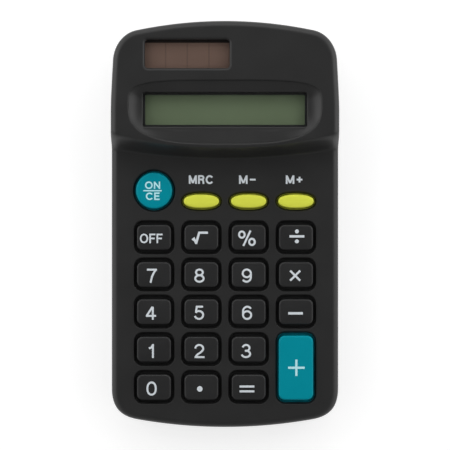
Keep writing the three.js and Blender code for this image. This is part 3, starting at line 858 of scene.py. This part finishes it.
def bowl(shell):
    """The bowl round the display: its lip's outer ring and the ring of its window."""
    lips = [
        shell.ring(bowl_rim(out), HEAD - down)
        for out, down in rounded_lip(HEAD - BOWL_TOP)
    ]
    shell.bridge(*lips[::-1])
    middle = (WINDOW_LOW[:2] + WINDOW_HIGH[:2]) / 2
    width, height = WINDOW_HIGH[:2] - WINDOW_LOW[:2] + 0.24

    def seat(out):
        """The window's seat, grown by out."""
        return dense(rounded_box(*middle, width + 2 * out, height + 2 * out, 0.7 + out))[:-1]

    rings = []
    for out, down in rounded_lip(0.3):
        outline = seat(out)
        rings.append(shell.ring(outline, bowl_height(outline) - down))
    outline = seat(0)
    rings.append(shell.ring(outline, WINDOW_LOW[2] - 0.1))
    shell.bridge(*rings[::-1])
    xs = np.arange(-BOWL["half"], BOWL["half"], 0.55)
    ys = np.arange(BOWL["y"] - BOWL["down"], BOWL["y"] + BOWL["up"], 0.55)
    spots = np.array([(x, y) for x in xs for y in ys])
    spots = spots[inside(spots, bowl_rim(-0.3)) & ~inside(spots, seat(0.5))]
    shell.fill(lips[-1], [rings[0]], extra=spots, height=bowl_height(spots))
    return lips[0], rings[-1]


def solar_opening(shell):
    """The solar cell's frame: a rolled lip that overhangs the window's seat."""
    middle = (SOLAR_LOW[:2] + SOLAR_HIGH[:2]) / 2
    width, height = SOLAR_HIGH[:2] - SOLAR_LOW[:2]
    hidden = {"x": 0.3, "y": 0.0}  # how far the frame covers the window at each side
    ledge = SOLAR_HIGH[2] + 0.15

    def frame_outline(out):
        """The inner edge of the cell's frame, grown by out."""
        wide = width + 2 * (out - hidden["x"])
        high = height + 2 * (out - hidden["y"])
        return rounded_box(*middle, wide, high, 0.9 + out)

    rings = [shell.ring(frame_outline(out), HEAD - down) for out, down in rounded_lip(0.75)]
    rings.append(shell.ring(frame_outline(0), ledge))
    seat = rounded_box(*middle, width + 0.6, height + 0.6, 1)
    rings += [shell.ring(seat, ledge), shell.ring(seat, HEAD - WALL)]
    shell.bridge(*rings[::-1])
    return rings[0], rings[-1]


def post(shell, x, y, radius, ceiling, foot):
    """A screw post that hangs from the ceiling, with its thread hole."""
    outer, hole = circle(x, y, radius), circle(x, y, THREAD_HOLE)
    top = shell.ring(outer, ceiling)
    low = shell.ring(outer, foot)
    mouth = shell.ring(moved_in(hole, -0.2), foot)
    throat = shell.ring(hole, foot + 0.3)
    end = shell.ring(hole, ceiling - 0.4)
    shell.bridge(end, throat, mouth, low, top)
    shell.cap(end, up=False)
    return top


def key_wells(shell):
    """The rolled well round each key: the rings in the upper face and in the ceiling."""
    above, below = [], []
    for name in KEY_NAMES:
        rings = [shell.ring(opening_outline(name, out), DECK - down) for out, down in WELL]
        shell.bridge(*rings[::-1])
        above.append(rings[0])
        below.append(rings[-1])
    return above, below


def screw_posts(shell):
    """The posts for the case's screws and the shorter ones for the board's."""
    kinds = [(CASE_SCREWS, SCREW_POST, SEAM_HIGH), (BOARD_SCREWS, BOARD_POST, SEAM_LOW + 0.15)]
    posts = []
    for nodes, radius, foot in kinds:
        posts += [post(shell, *centre_of(node), radius, DECK - WALL, foot) for node in nodes]
    return posts


def front_case():
    """The upper shell: head, bowl, step and deck outside, and posts and rebate inside."""
    shell = Shell()
    outline = case_outline()
    crest = case_top(outline)
    outer = [
        shell.ring(moved_in(outline, 0.25), SEAM_HIGH),
        shell.ring(outline, SEAM_HIGH + 0.25),
        shell.ring(outline, (SEAM_HIGH + crest) / 2),
    ]
    for inwards, down in quarter(8):
        points = moved_in(outline, EDGE_ROUND * inwards)
        outer.append(shell.ring(points, case_top(points) - EDGE_ROUND * down))
    shell.bridge(*outer)

    holes_above, holes_below = key_wells(shell)
    bowl_lip, window_ring = bowl(shell)
    solar_lip, solar_seat = solar_opening(shell)
    holes_above += [bowl_lip, solar_lip]
    holes_below.append(solar_seat)
    spots = step_points()
    spots = spots[~inside(spots, bowl_rim(0.5))]
    shell.fill(outer[-1], holes_above, extra=spots, height=case_top(spots))

    # The ledge under the display window, and the mask below it.
    ledge = WINDOW_LOW[2] - 0.1
    below = LCD_TOP + 0.3
    mask = rounded_box(0, DISPLAY["y"], DISPLAY["width"], DISPLAY["height"], 0.4)
    mask_rings = [shell.ring(mask, ledge), shell.ring(mask, below)]
    shell.bridge(*mask_rings[::-1])
    shell.fill(window_ring, [mask_rings[0]])

    # Inside: the block under the bowl, the walls and the ceiling with its posts.
    block_outline = bowl_rim(1.2)
    block_foot = shell.ring(block_outline, below)
    shell.fill(block_foot, [mask_rings[-1]], up=False)

    def ceiling_height(points):
        """The ceiling: the upper face with its step moved, one wall lower."""
        return case_top(points - [0, CEILING_SHIFT]) - WALL

    block_top = shell.ring(block_outline, ceiling_height(block_outline))
    shell.bridge(block_top[::-1], block_foot[::-1])
    inner = moved_in(outline, WALL)
    rebate = moved_in(outline, LIP_LOW)
    inner_rings = [
        shell.ring(inner, ceiling_height(inner)),
        shell.ring(inner, LIP_HIGH),
        shell.ring(rebate, LIP_HIGH),
        shell.ring(rebate, SEAM_HIGH),
    ]
    shell.bridge(*inner_rings, outer[0])
    posts = screw_posts(shell)
    spots = step_points(CEILING_SHIFT)
    spots = spots[inside(spots, moved_in(inner, 0.4)) & ~inside(spots, bowl_rim(1.6))]
    shell.fill(
        inner_rings[0],
        [*holes_below, block_top, *posts],
        up=False,
        extra=spots,
        height=ceiling_height(spots),
    )
    stand_in(shell.object("front_shell", CASE), "front_case")


front_case()

# ---- Rear case and battery door ----

BAY_WALL = (37.0, 38.2)  # between the electronics and the battery
BAY_HALF = 26.0
DOOR_THICK = DOOR_HIGH[2]
DOOR_TONGUE = 0.9  # underside of the tongues that slide in the case's grooves
FIT = 0.3  # clearance round the door
FAR = HALF_LENGTH + 5  # past the end of the case


def rear_outer(shell, top):
    """Rings from the rounded edge of the back up to a height."""
    outline = case_outline()
    rings = []
    for inwards, down in quarter(6):
        points = moved_in(outline, BACK_ROUND * inwards)
        rings.insert(0, shell.ring(points, BACK_ROUND * down))
    rings.append(shell.ring(outline, top))
    return rings


def bay_walls(made):
    """Adds the battery bay's walls, the pads beside the door and the cell's end walls."""
    outline = case_outline()
    near, far = BAY_WALL
    foot = WALL - 0.5  # inside the floor of the case
    pads_top, wall_top, end_top = 3.3, 12.8, 14.0
    slot = 29.4  # where the leads pass the bay wall
    ends = (42, 51.5)
    into_walls, clear_of_walls = 1.3, WALL + 0.15
    walls = [
        (into_walls, (-FAR, FAR, near, far, foot, SEAM_LOW + 0.65)),
        (clear_of_walls, (-slot, slot, near, far, foot, wall_top)),
        (into_walls, (-FAR, -BAY_HALF, far - 0.1, FAR, foot, pads_top)),
        (into_walls, (BAY_HALF, FAR, far - 0.1, FAR, foot, pads_top)),
        (clear_of_walls, (-30.2, -29.2, *ends, foot, end_top)),
        (clear_of_walls, (26.5, 27.7, *ends, foot, end_top)),
    ]
    for inwards, corners in walls:
        join(made, trim(block(*corners), prism(moved_in(outline, inwards), 0, 20)))


def screw_sinks(made):
    """Adds a pad round each case screw and sinks the screw's hole and head into it."""
    for node in CASE_SCREWS:
        x, y = centre_of(node)
        join(made, prism(circle(x, y, SCREW_POST + 1, 32), 1, 3))
        cut(made, prism(circle(x, y, 1.2, 32), -1, 5))
        cut(made, prism(circle(x, y, 2.2, 48), -1, 1.7))


def door_way(made):
    """Cuts the opening for the battery door and the grooves for its tongues."""
    near = DOOR_LOW[1] - FIT
    over = DOOR_THICK + FIT
    tongue = DOOR_HIGH[0] + FIT
    cut(made, block(-BAY_HALF, BAY_HALF, near, FAR, -1, over))
    cut(made, block(-tongue, tongue, near, FAR, DOOR_TONGUE - FIT, over))


def rear_case():
    """The tray that the calculator lies on, with a lip that stands in the front case."""
    shell = Shell()
    outline = case_outline()
    inner, lip = moved_in(outline, WALL - 0.1), moved_in(outline, LIP_LOW + 0.1)
    rings = rear_outer(shell, SEAM_LOW - 0.25)
    for ring, height in (
        (moved_in(outline, 0.25), SEAM_LOW),
        (lip, SEAM_LOW),
        (lip, LIP_HIGH - 0.2),
        (inner, LIP_HIGH - 0.2),
        (inner, WALL),
    ):
        rings.append(shell.ring(ring, height))
    shell.bridge(*rings)
    shell.fill(rings[-1])
    shell.fill(rings[0], up=False)
    made = shell.object("rear_shell", CASE)
    bay_walls(made)
    screw_sinks(made)
    door_way(made)
    stand_in(shaded(softened(made)), "rear_case")


def battery_door():
    """A sliding cover with tongues at its sides, grip grooves and an arrow."""
    shell = Shell()
    rings = rear_outer(shell, DOOR_THICK)
    shell.bridge(*rings)
    shell.fill(rings[-1])
    shell.fill(rings[0], up=False)
    made = shell.object("door_cover", CASE)
    half = BAY_HALF - FIT
    cover = block(-half, half, DOOR_LOW[1], FAR, -1, DOOR_THICK + 1)
    tongue = DOOR_HIGH[0]
    sides = block(-tongue, tongue, DOOR_LOW[1], FAR, DOOR_TONGUE, DOOR_THICK + 1)
    trim(made, join(cover, sides))
    for i in range(5):
        y = DOOR_LOW[1] + 3.75 + 1.5 * i
        groove = prism(rounded_box(0, y, 10, 0.7, 0.34, 5), -1, 0.4)
        cut(made, groove)
    tip = DOOR_LOW[1] + 16
    arrow = np.array([(-2.4, tip - 3.2), (2.4, tip - 3.2), (0, tip)])
    cut(made, prism(arrow, -1, 0.3))
    stand_in(shaded(softened(made, 0.15)), "battery_door", body="battery_door")


rear_case()
battery_door()

# ---- Display and solar cell ----


def dress(nodes, material):
    """Gives carried-over CAD nodes a material."""
    for node in nodes:
        node_mesh = frame["nodes"][node].data
        node_mesh.materials.clear()
        node_mesh.materials.append(material)


def clear_plastic():
    """See-through plastic that is almost without colour."""
    material = plastic("clear_plastic", (0.02, 0.025, 0.025), 0.12, grain=0.0)
    return tuned(material, Alpha=0.08)


LCD = plastic("lcd_face", (0.175, 0.23, 0.135), 0.4, grain=0.002, mottle=0.05)
tuned(LCD, Specular_IOR_Level=0.2)


def solar_face():
    """Four brown strips with thin dark lines between them, and a painted shadow along the upper
    edge, where the frame shades the sunken cell.
    """
    material = plastic("solar_face", (0.2, 0.128, 0.1), 0.4, grain=0.002, mottle=0.12)
    tuned(material, Specular_IOR_Level=0.2)
    tree = material.node_tree
    x, y, _ = position(tree)
    start = math_node(tree, "SUBTRACT", x, SOLAR_LOW[0] * MM)
    half_strip = (SOLAR_HIGH[0] - SOLAR_LOW[0]) / 8
    from_line = math_node(tree, "PINGPONG", start, half_strip * MM)
    lines = ramp(tree, from_line, (0.1 * MM, 0.3 * MM), (0.22, 0))
    # Painted shadow: a black band along the cell's upper edge stands in for the shade that the
    # frame casts into the recess. The lines between the strips are real.
    shadow_line = SOLAR_HIGH[1] - 0.75
    edge = ramp(tree, y, ((shadow_line - 0.1) * MM, shadow_line * MM), (0, 0.95))
    both = math_node(tree, "MAXIMUM", lines, edge)
    return recoloured(material, both, (0, 0, 0))


dress(["display_window", "solar_window"], clear_plastic())
dress(["lcd_panel"], LCD)
dress(["solar_cell"], solar_face())

# ---- Battery, contacts and screws ----


def metal(name, colour, roughness):
    """Plated metal with fine scratches and slight stains."""
    material = plastic(name, colour, roughness, grain=0.004, grain_size=0.12, mottle=0.1)
    return tuned(material, Metallic=1.0)


NICKEL = metal("nickel_plating", (0.48, 0.5, 0.53), 0.3)
STEEL = metal("zinc_plated_steel", (0.27, 0.28, 0.3), 0.36)


def turned_solid(name, profile, material, sides=48, place=None):
    """A solid of (radius, height) rings round an upright axis, from its foot to its top.

    place turns each ring's (x, y, z) into the piece's own place.
    """
    shell = Shell()
    rings = [shell.ring(circle(0, 0, radius, sides), height) for radius, height in profile]
    shell.bridge(*rings)
    shell.cap(rings[0], up=False)
    shell.cap(rings[-1])
    if place:
        shell.points = [place(*point) for point in shell.points]
    return shell.object(name, material, sharp=40)


def tube(name, path, radius, material, sides=12):
    """A round rod along a path, with closed ends."""
    path = [Vector(p) for p in path]
    shell = Shell()
    rings = []
    side = Vector((0, 0, 1))
    for i, spot in enumerate(path):
        along = (path[min(i + 1, len(path) - 1)] - path[max(i - 1, 0)]).normalized()
        side = (side - along * side.dot(along)).normalized()
        across = along.cross(side)
        start = len(shell.points)
        for turn in np.linspace(0, 2 * math.pi, sides, endpoint=False):
            offset = side * math.cos(turn) + across * math.sin(turn)
            shell.points.append(tuple(spot + offset * radius))
        rings.append(list(range(start, start + sides)))
    shell.bridge(*rings)
    shell.cap(rings[0], up=False)
    shell.cap(rings[-1])
    return shell.object(name, material, sharp=50)


def on_battery_axis(x, y, z):
    """Lays an upright piece along the battery, whose axis runs from left to right."""
    centre = (CELL_LOW + CELL_HIGH) / 2
    return (z, centre[1] + y, centre[2] - x)


def battery_jacket():
    """A plain jacket: dark, with a metallic band at the positive end, and worn a little."""
    material = plastic("cell_jacket", (0.03, 0.033, 0.038), 0.3, grain=0.003, mottle=0.3)
    tree = material.node_tree
    start = CELL_HIGH[0] - 15
    band = ramp(tree, position(tree)[0], (start * MM, (start + 0.2) * MM), (0, 1))
    return recoloured(material, band, (0.32, 0.19, 0.08))


def battery():
    """An AA cell: jacket with rolled ends, steel can and button."""
    radius = (CELL_HIGH[2] - CELL_LOW[2]) / 2
    foot, tip = CELL_LOW[0], CELL_HIGH[0]
    neck = tip - 1.05
    jacket = [
        (radius - 0.75, foot + 0.05),
        (radius - 0.25, foot + 0.05),
        (radius - 0.05, foot + 0.2),
        (radius, foot + 0.5),
        (radius, neck - 0.55),
        (radius - 0.06, neck - 0.2),
        (radius - 0.3, neck),
        (radius - 1.6, neck),
        (radius - 1.6, neck - 0.12),
    ]
    cover = turned_solid("battery_jacket", jacket, battery_jacket(), 72, on_battery_axis)
    can = [
        (0.1, foot),
        (radius - 2.2, foot),
        (radius - 1.9, foot + 0.02),
        (radius - 1.5, foot + 0.25),
        (radius - 1.1, foot + 0.04),
        (radius - 0.9, foot + 0.08),
        (radius - 0.8, foot + 0.3),
        (radius - 0.8, neck - 0.6),
        (radius - 1.7, neck - 0.3),
        (3.4, neck - 0.3),
        (3.2, neck - 0.1),
        (2.75, neck + 0.05),
        (2.75, tip - 0.2),
        (2.7, tip - 0.06),
        (2.5, tip),
        (0.1, tip),
    ]
    stand_in(cover, "battery_cell")
    fixed(turned_solid("battery_can", can, NICKEL, 72, on_battery_axis))


PLATE = 0.5  # thickness of a contact


def contact_plate(name, dimple):
    """A sprung plate in its slot. dimple is 1 for a round dimple towards the cell, or 0."""
    low, high = box_of(name)
    _, middle_y, middle_z = (CELL_LOW + CELL_HIGH) / 2
    outline = rounded_box(0, (low[2] + high[2]) / 2 - middle_z, 9, high[2] - low[2], 0.8)
    shell = Shell()
    front = shell.ring(outline, PLATE)
    back = shell.ring(outline, 0)
    shell.bridge(back, front)
    rounds = [(2.2, 0), (2.0, 0.03), (1.6, 0.15 * dimple), (1.2, 0.22 * dimple)]
    for side, level in ((front, PLATE), (back, 0)):
        hollow = [shell.ring(circle(0, 0, r, 32), level + out) for r, out in rounds]
        if side is front:
            shell.bridge(*hollow)
        else:
            shell.bridge(*hollow[::-1])
        shell.fill(side, [hollow[0]], up=side is front)
        shell.cap(hollow[-1], up=side is front)
    x, facing = (high[0], -1) if dimple else (low[0], 1)
    shell.points = [
        (x + facing * z, middle_y - facing * px, middle_z + py) for px, py, z in shell.points
    ]
    stand_in(shell.object(name + "_plate", NICKEL, sharp=50), name)


def battery_spring():
    """The coil that presses the cell's foot, narrowing towards it."""
    centre = (CELL_LOW + CELL_HIGH) / 2
    thick, turns = 0.35, 3.5
    start = box_of("battery_contact_negative")[0][0] + PLATE + thick
    path = []
    for share in np.linspace(0, 1, 90):
        angle = 2 * math.pi * turns * share
        radius = 3.6 - 1.4 * share
        x = start + share * (CELL_LOW[0] - 0.15 - thick - start)
        y, z = centre[1] + radius * math.cos(angle), centre[2] + radius * math.sin(angle)
        path.append((x, y, z))
    fixed(tube("battery_spring", path, thick, NICKEL))


def screw(node):
    """A pan-headed screw, point up, with a cross recess and a ridged thread."""
    head_thick = 0.9
    low, high = box_of(node)
    x, y = centre_of(node)
    radius = (high[0] - low[0]) / 2
    shank = radius * 0.36
    foot = low[2]
    profile = [(radius - 0.35, foot), (radius - 0.1, foot + 0.1), (radius, foot + 0.35)]
    profile += [(radius, foot + head_thick), (shank, foot + head_thick)]
    height = foot + head_thick + 0.6
    while height < high[2] - 1.0:
        profile += [(shank * 0.78, height), (shank * 1.05, height + 0.25)]
        height += 0.5
    profile += [(shank * 0.7, high[2] - 0.8), (0.05, high[2])]
    made = turned_solid(node + "_body", profile, STEEL, 32)
    for angle in (0, 90):
        arm, width, depth = radius * 0.52, radius * 0.15, head_thick * 0.75
        slot = block(-arm, arm, -width, width, foot - 1, foot + depth)
        slot.rotation_euler[2] = math.radians(angle + 20)
        cut(made, slot)
    made.data.transform(Matrix.Translation(Vector((x, y, 0)) * MM))
    stand_in(shaded(made, 40), node)


battery()
contact_plate("battery_contact_positive", dimple=1)
contact_plate("battery_contact_negative", dimple=0)
battery_spring()
for node in CASE_SCREWS + BOARD_SCREWS:
    screw(node)

# ---- Circuit board and keypad sheet ----

RUBBER = plastic("grey_rubber", (0.27, 0.285, 0.29), 0.75, grain=0.02, mottle=0.12)
RESIN = plastic("black_resin", (0.008, 0.008, 0.008), 0.35, grain=0.03, grain_size=0.8)
RED_WIRE = plastic("red_insulation", (0.43, 0.024, 0.018), 0.42, grain=0.005, mottle=0.1)
BLACK_WIRE = plastic("black_insulation", (0.012, 0.012, 0.013), 0.42, grain=0.005, mottle=0.1)


def board_green():
    """Green lacquer with paler copper tracks under it, in two directions."""
    material = plastic("board_lacquer", (0.014, 0.11, 0.036), 0.4, grain=0.006, mottle=0.12)
    tree = material.node_tree
    nodes, links = tree.nodes, tree.links
    place = nodes["Texture Coordinate"].outputs["Object"]
    x, y, _ = position(tree)
    pitch, half_track, fade = 1.4, 0.24, 0.05
    tracks = []
    for across, cell in ((y, (8, pitch, 9)), (x, (pitch, 6, 9))):
        from_gap = math_node(tree, "PINGPONG", across, pitch / 2 * MM)
        side = (pitch / 2 - half_track) * MM
        line = ramp(tree, from_gap, (side - fade * MM, side), (0, 1))
        snap = nodes.new("ShaderNodeVectorMath")
        snap.operation = "SNAP"
        snap.inputs[1].default_value = [size * MM for size in cell]
        links.new(place, snap.inputs[0])
        chance = nodes.new("ShaderNodeTexWhiteNoise")
        links.new(snap.outputs["Vector"], chance.inputs["Vector"])
        present = math_node(tree, "GREATER_THAN", chance.outputs["Value"], 0.45)
        tracks.append(math_node(tree, "MULTIPLY", line, present))
    both = math_node(tree, "MAXIMUM", *tracks)
    return recoloured(material, both, (0.04, 0.24, 0.07))


def connector_rubber():
    """Rubber with fine conducting stripes across it."""
    material = plastic("striped_rubber", (0.3, 0.31, 0.32), 0.7, grain=0.004, mottle=0.1)
    tree = material.node_tree
    saw = math_node(tree, "PINGPONG", position(tree)[0], 0.1 * MM)
    stripes = ramp(tree, saw, (0.04 * MM, 0.06 * MM), (1, 0))
    return recoloured(material, stripes, (0.02, 0.02, 0.02))


def circuit_board():
    """The board, cut to the inside of the case, with its screw and post holes."""
    low, high = box_of("circuit_board")
    made = prism(moved_in(case_outline(), WALL + 0.8), low[2], high[2])
    made.name = "board_sheet"
    made.data.materials[0] = board_green()
    trim(made, block(low[0], high[0], low[1], high[1], 0, 20))
    for node in CASE_SCREWS:
        cut(made, prism(circle(*centre_of(node), SCREW_POST + 0.5, 32), 0, 20))
    for node in BOARD_SCREWS:
        cut(made, prism(circle(*centre_of(node), 1.1, 24), 0, 20))
    shaded(softened(made, 0.06, 1))
    stand_in(made, "circuit_board")


def chip_blob():
    """A drop of resin that hangs under the board over the bare chip."""
    low, high = box_of("chip_blob")
    x, y, _ = (low + high) / 2
    radius, height = (high[0] - low[0]) / 2, high[2] - low[2]
    profile = []
    for angle in np.radians(np.linspace(3, 90, 14)):
        swell = 1 - 0.06 * math.sin(2 * angle)
        profile.append((radius * math.sin(angle) * swell, high[2] - height * math.cos(angle)))
    made = turned_solid("chip_drop", profile, RESIN, 48)
    made.data.transform(Matrix.Translation(Vector((x, y, 0)) * MM))
    stand_in(made, "chip_blob")


def board_part(node, end):
    """A small part soldered flat on the board: a resin body with metal ends."""
    low, high = box_of(node)
    inset = np.array([end * 0.5, 0.06, 0.05])  # of the body inside its ends
    body_high = high - inset * [1, 1, 0]
    body = soft_box(node + "_body", low + inset, body_high, RESIN, 0.1)
    stand_in(body, node)
    for side, x in (("left", low[0]), ("right", high[0] - end)):
        near, far = (x, *low[1:]), (x + end, high[1], high[2] - 0.04)
        fixed(soft_box(f"{node}_{side}_end", near, far, NICKEL, 0.08))


def capacitor():
    """A can in a shrunk sleeve, with a pinched rubber foot and a scored bare top."""
    low, high = box_of("capacitor")
    x, y, _ = (low + high) / 2
    radius = (high[0] - low[0]) / 2
    foot, top = low[2], high[2]
    sleeve = [
        (radius - 0.5, foot),
        (radius - 0.1, foot + 0.06),
        (radius, foot + 0.25),
        (radius, foot + 0.9),
        (radius - 0.22, foot + 1.1),
        (radius - 0.22, foot + 1.3),
        (radius, foot + 1.5),
        (radius, top - 0.4),
        (radius - 0.12, top - 0.14),
        (radius - 0.45, top - 0.04),
        (radius - 0.5, top - 0.12),
    ]
    cover = turned_solid("capacitor_sleeve", sleeve, RESIN, 56)
    disc = [(radius - 0.6, top - 0.5), (radius - 0.52, top - 0.02), (radius - 0.7, top)]
    lid = turned_solid("capacitor_lid", disc, NICKEL, 56)
    for angle in (0, 90):
        score = block(-radius + 1, radius - 1, -0.08, 0.08, top - 0.15, top + 1)
        score.rotation_euler[2] = math.radians(angle + 30)
        cut(lid, score)
    for made in (cover, lid):
        made.data.transform(Matrix.Translation(Vector((x, y, 0)) * MM))
    stand_in(cover, "capacitor")
    fixed(shaded(lid, 30))


def rubber_keypad():
    """The sheet under the keys, with a round dome under each of them."""
    low, high = box_of("rubber_keypad")
    thick = 0.8
    top = low[2] + thick
    middle = (low + high) / 2
    outline = rounded_box(middle[0], middle[1], high[0] - low[0], high[1] - low[1], 2)
    shell = Shell()
    foot = shell.ring(outline, low[2])
    upper = [shell.ring(outline, top - 0.12), shell.ring(moved_in(outline, 0.12), top)]
    shell.bridge(foot, *upper)
    domes, holes_above, holes_below = [], [], []
    for name in KEY_NAMES:
        spot = centre_of(name)
        dome = high[2] - top
        rise = [(2.9, 0), (2.6, 0.1), (2.4, 0.4), (2.2, dome - 0.1), (2.05, dome)]
        rings = [shell.ring(circle(*spot, radius, 36), top + up) for radius, up in rise]
        shell.bridge(*rings)
        shell.cap(rings[-1])
        domes.append(rings[0])
    posts = [(node, BOARD_POST + FIT) for node in BOARD_SCREWS]
    posts += [(node, SCREW_POST + 0.5) for node in CASE_SCREWS]
    for node, radius in posts:
        edge = circle(*centre_of(node), radius, 32)
        if inside(edge, outline).all():
            rings = [shell.ring(edge, low[2]), shell.ring(edge, top)]
            shell.bridge(*rings[::-1])
            holes_below.append(rings[0])
            holes_above.append(rings[1])
    shell.fill(upper[-1], [*domes, *holes_above])
    shell.fill(foot, holes_below, up=False)
    stand_in(shell.object("keypad_sheet", RUBBER), "rubber_keypad")


def lcd_connector():
    """The strip of striped rubber that joins the display to the board."""
    strip = soft_box("connector_strip", *box_of("lcd_connector"), connector_rubber(), 0.25)
    stand_in(strip, "lcd_connector")


def through(points, steps=12):
    """A smooth path through points."""
    points = np.array(points, float)
    slopes = np.gradient(points, axis=0)
    path = []
    for i in range(len(points) - 1):
        near, far = points[i] + slopes[i] / 3, points[i + 1] - slopes[i + 1] / 3
        path += curve(points[i], near, far, points[i + 1], steps).tolist()
    return [*path, tuple(points[-1])]


def leads():
    """The four wires, at the right side and mirrored at the left one."""
    board = box_of("circuit_board")[1][2] + FIT
    solar_low, solar_high = box_of("solar_cell")
    solar_height = (solar_low[2] + solar_high[2]) / 2

    def from_battery(x):
        """A route from a contact, over the end of the bay wall and down to the board."""
        bend = [(x, 41, 13.2), ((x + 30) / 2, 40.1, 12.6), (30.2, 38.9, 11.4), (30.1, 36.6, 10)]
        return bend + [(28.4, 34.8, 8.4), (26.4, 34, 7.6), (25.6, 34, board)]

    down = [(29.2, 48.5, 16.2), (29.7, 44, 15.6), (29.8, 40.5, 14.4), (29.2, 37.5, 13.9)]
    down += [(28.4, 35.4, 11.8), (27.4, 33.2, 9), (27.2, 31.5, board)]
    right = [(solar_high[0] + FIT, 52.4, solar_height), (8, 52.9, 16.9), (20, 52.9, 16.5)]
    right += [(26.4, 51.6, 16.3), *down]
    left = [(FIT - solar_low[0], 52.2, solar_height), (27, 51.2, 17), *down]
    plate = centre_of("battery_contact_positive")[0]
    routes = {
        "battery_lead_positive": (from_battery(plate), 1, RED_WIRE, "wire_red"),
        "battery_lead_negative": (from_battery(28.7), -1, BLACK_WIRE, "wire_black"),
        "solar_lead_positive": (right, 1, RED_WIRE, "wire_red"),
        "solar_lead_negative": (left, -1, BLACK_WIRE, "wire_black"),
    }
    for node, (points, side, material, slot) in routes.items():
        path = [(side * x, y, z) for x, y, z in through(points)]
        stand_in(tube(node + "_wire", path, 0.5, material, 16), node)


circuit_board()
chip_blob()
board_part("resistor", 0.55)
board_part("diode", 0.6)
capacitor()
rubber_keypad()
lcd_connector()
leads()

# ---- Floor, light and camera ----


FLOOR = -0.1  # just under the back, so that the two faces stay apart


def floor():
    """A pale floor that can be seen through from below, so that the back shows."""
    shell = Shell()
    shell.cap(shell.ring(rounded_box(0, 0, 6000, 6000, 10), FLOOR))
    material = plastic("floor", (0.5, 0.5, 0.5), 0.8, grain=0.0, mottle=0.01)
    tuned(material, Emission_Color=(1, 1, 1, 1), Emission_Strength=0.68)
    nodes, links = material.node_tree.nodes, material.node_tree.links
    side = nodes.new("ShaderNodeNewGeometry")
    clear = nodes.new("ShaderNodeBsdfTransparent")
    mix = nodes.new("ShaderNodeMixShader")
    links.new(side.outputs["Backfacing"], mix.inputs["Fac"])
    links.new(nodes["Principled BSDF"].outputs["BSDF"], mix.inputs[1])
    links.new(clear.outputs["BSDF"], mix.inputs[2])
    links.new(mix.outputs["Shader"], nodes["Material Output"].inputs["Surface"])
    shell.object("floor", material)


def softbox(name, place, size, power):
    """An area light at a place, in metres, that looks at the calculator."""
    light = bpy.data.lights.new(name, "AREA")
    light.shape = "RECTANGLE"
    light.size, light.size_y = size
    light.energy = power
    made = bpy.data.objects.new(name, light)
    made.location = place
    made.rotation_euler = (-Vector(place)).to_track_quat("-Z", "Y").to_euler()
    bpy.context.scene.collection.objects.link(made)


def sky():
    """Dim overhead and at the near end, bright low down at the sides, dim from below."""
    world = bpy.data.worlds.new("studio")
    world.use_nodes = True
    tree = world.node_tree
    x, y, z = position(tree, "Generated")
    overhead = ramp(tree, z, (0.55, 0.9), (1.3, 0.2), smooth_ends=True)
    under = ramp(tree, z, (-0.2, 0), (0.25, 1))
    sideways = math_node(tree, "MULTIPLY", x, x)
    sides = math_node(tree, "MULTIPLY_ADD", sideways, 0.35, 0.79)
    near_end = math_node(tree, "MINIMUM", y, 0.0)
    ends = math_node(tree, "MULTIPLY_ADD", near_end, 0.62, sides)
    above = math_node(tree, "MULTIPLY", overhead, ends)
    whole = math_node(tree, "MULTIPLY", above, under)
    background = tree.nodes["Background"]
    background.inputs["Color"].default_value = (1, 1, 1, 1)
    tree.links.new(whole, background.inputs["Strength"])
    bpy.context.scene.world = world


def camera():
    """Straight above, so far away that the picture is nearly without perspective."""
    lens, sensor = 200, 36
    view_height = 2 * HALF_LENGTH * MM / 0.9
    data = bpy.data.cameras.new("camera")
    data.lens = lens
    data.sensor_width = sensor
    data.clip_end = 20
    made = bpy.data.objects.new("camera", data)
    made.location = (0, 0, DECK * MM + view_height * lens / sensor)
    bpy.context.scene.collection.objects.link(made)
    bpy.context.scene.camera = made
    bpy.context.scene.view_settings.view_transform = "Standard"


floor()
sky()
softbox("softbox_head", (0, 0.3, 0.22), (0.35, 0.15), 0.25)
softbox("softbox_left", (-0.32, 0.1, 0.2), (0.2, 0.3), 0.25)
softbox("softbox_right", (0.32, 0.1, 0.2), (0.2, 0.3), 0.25)
camera()
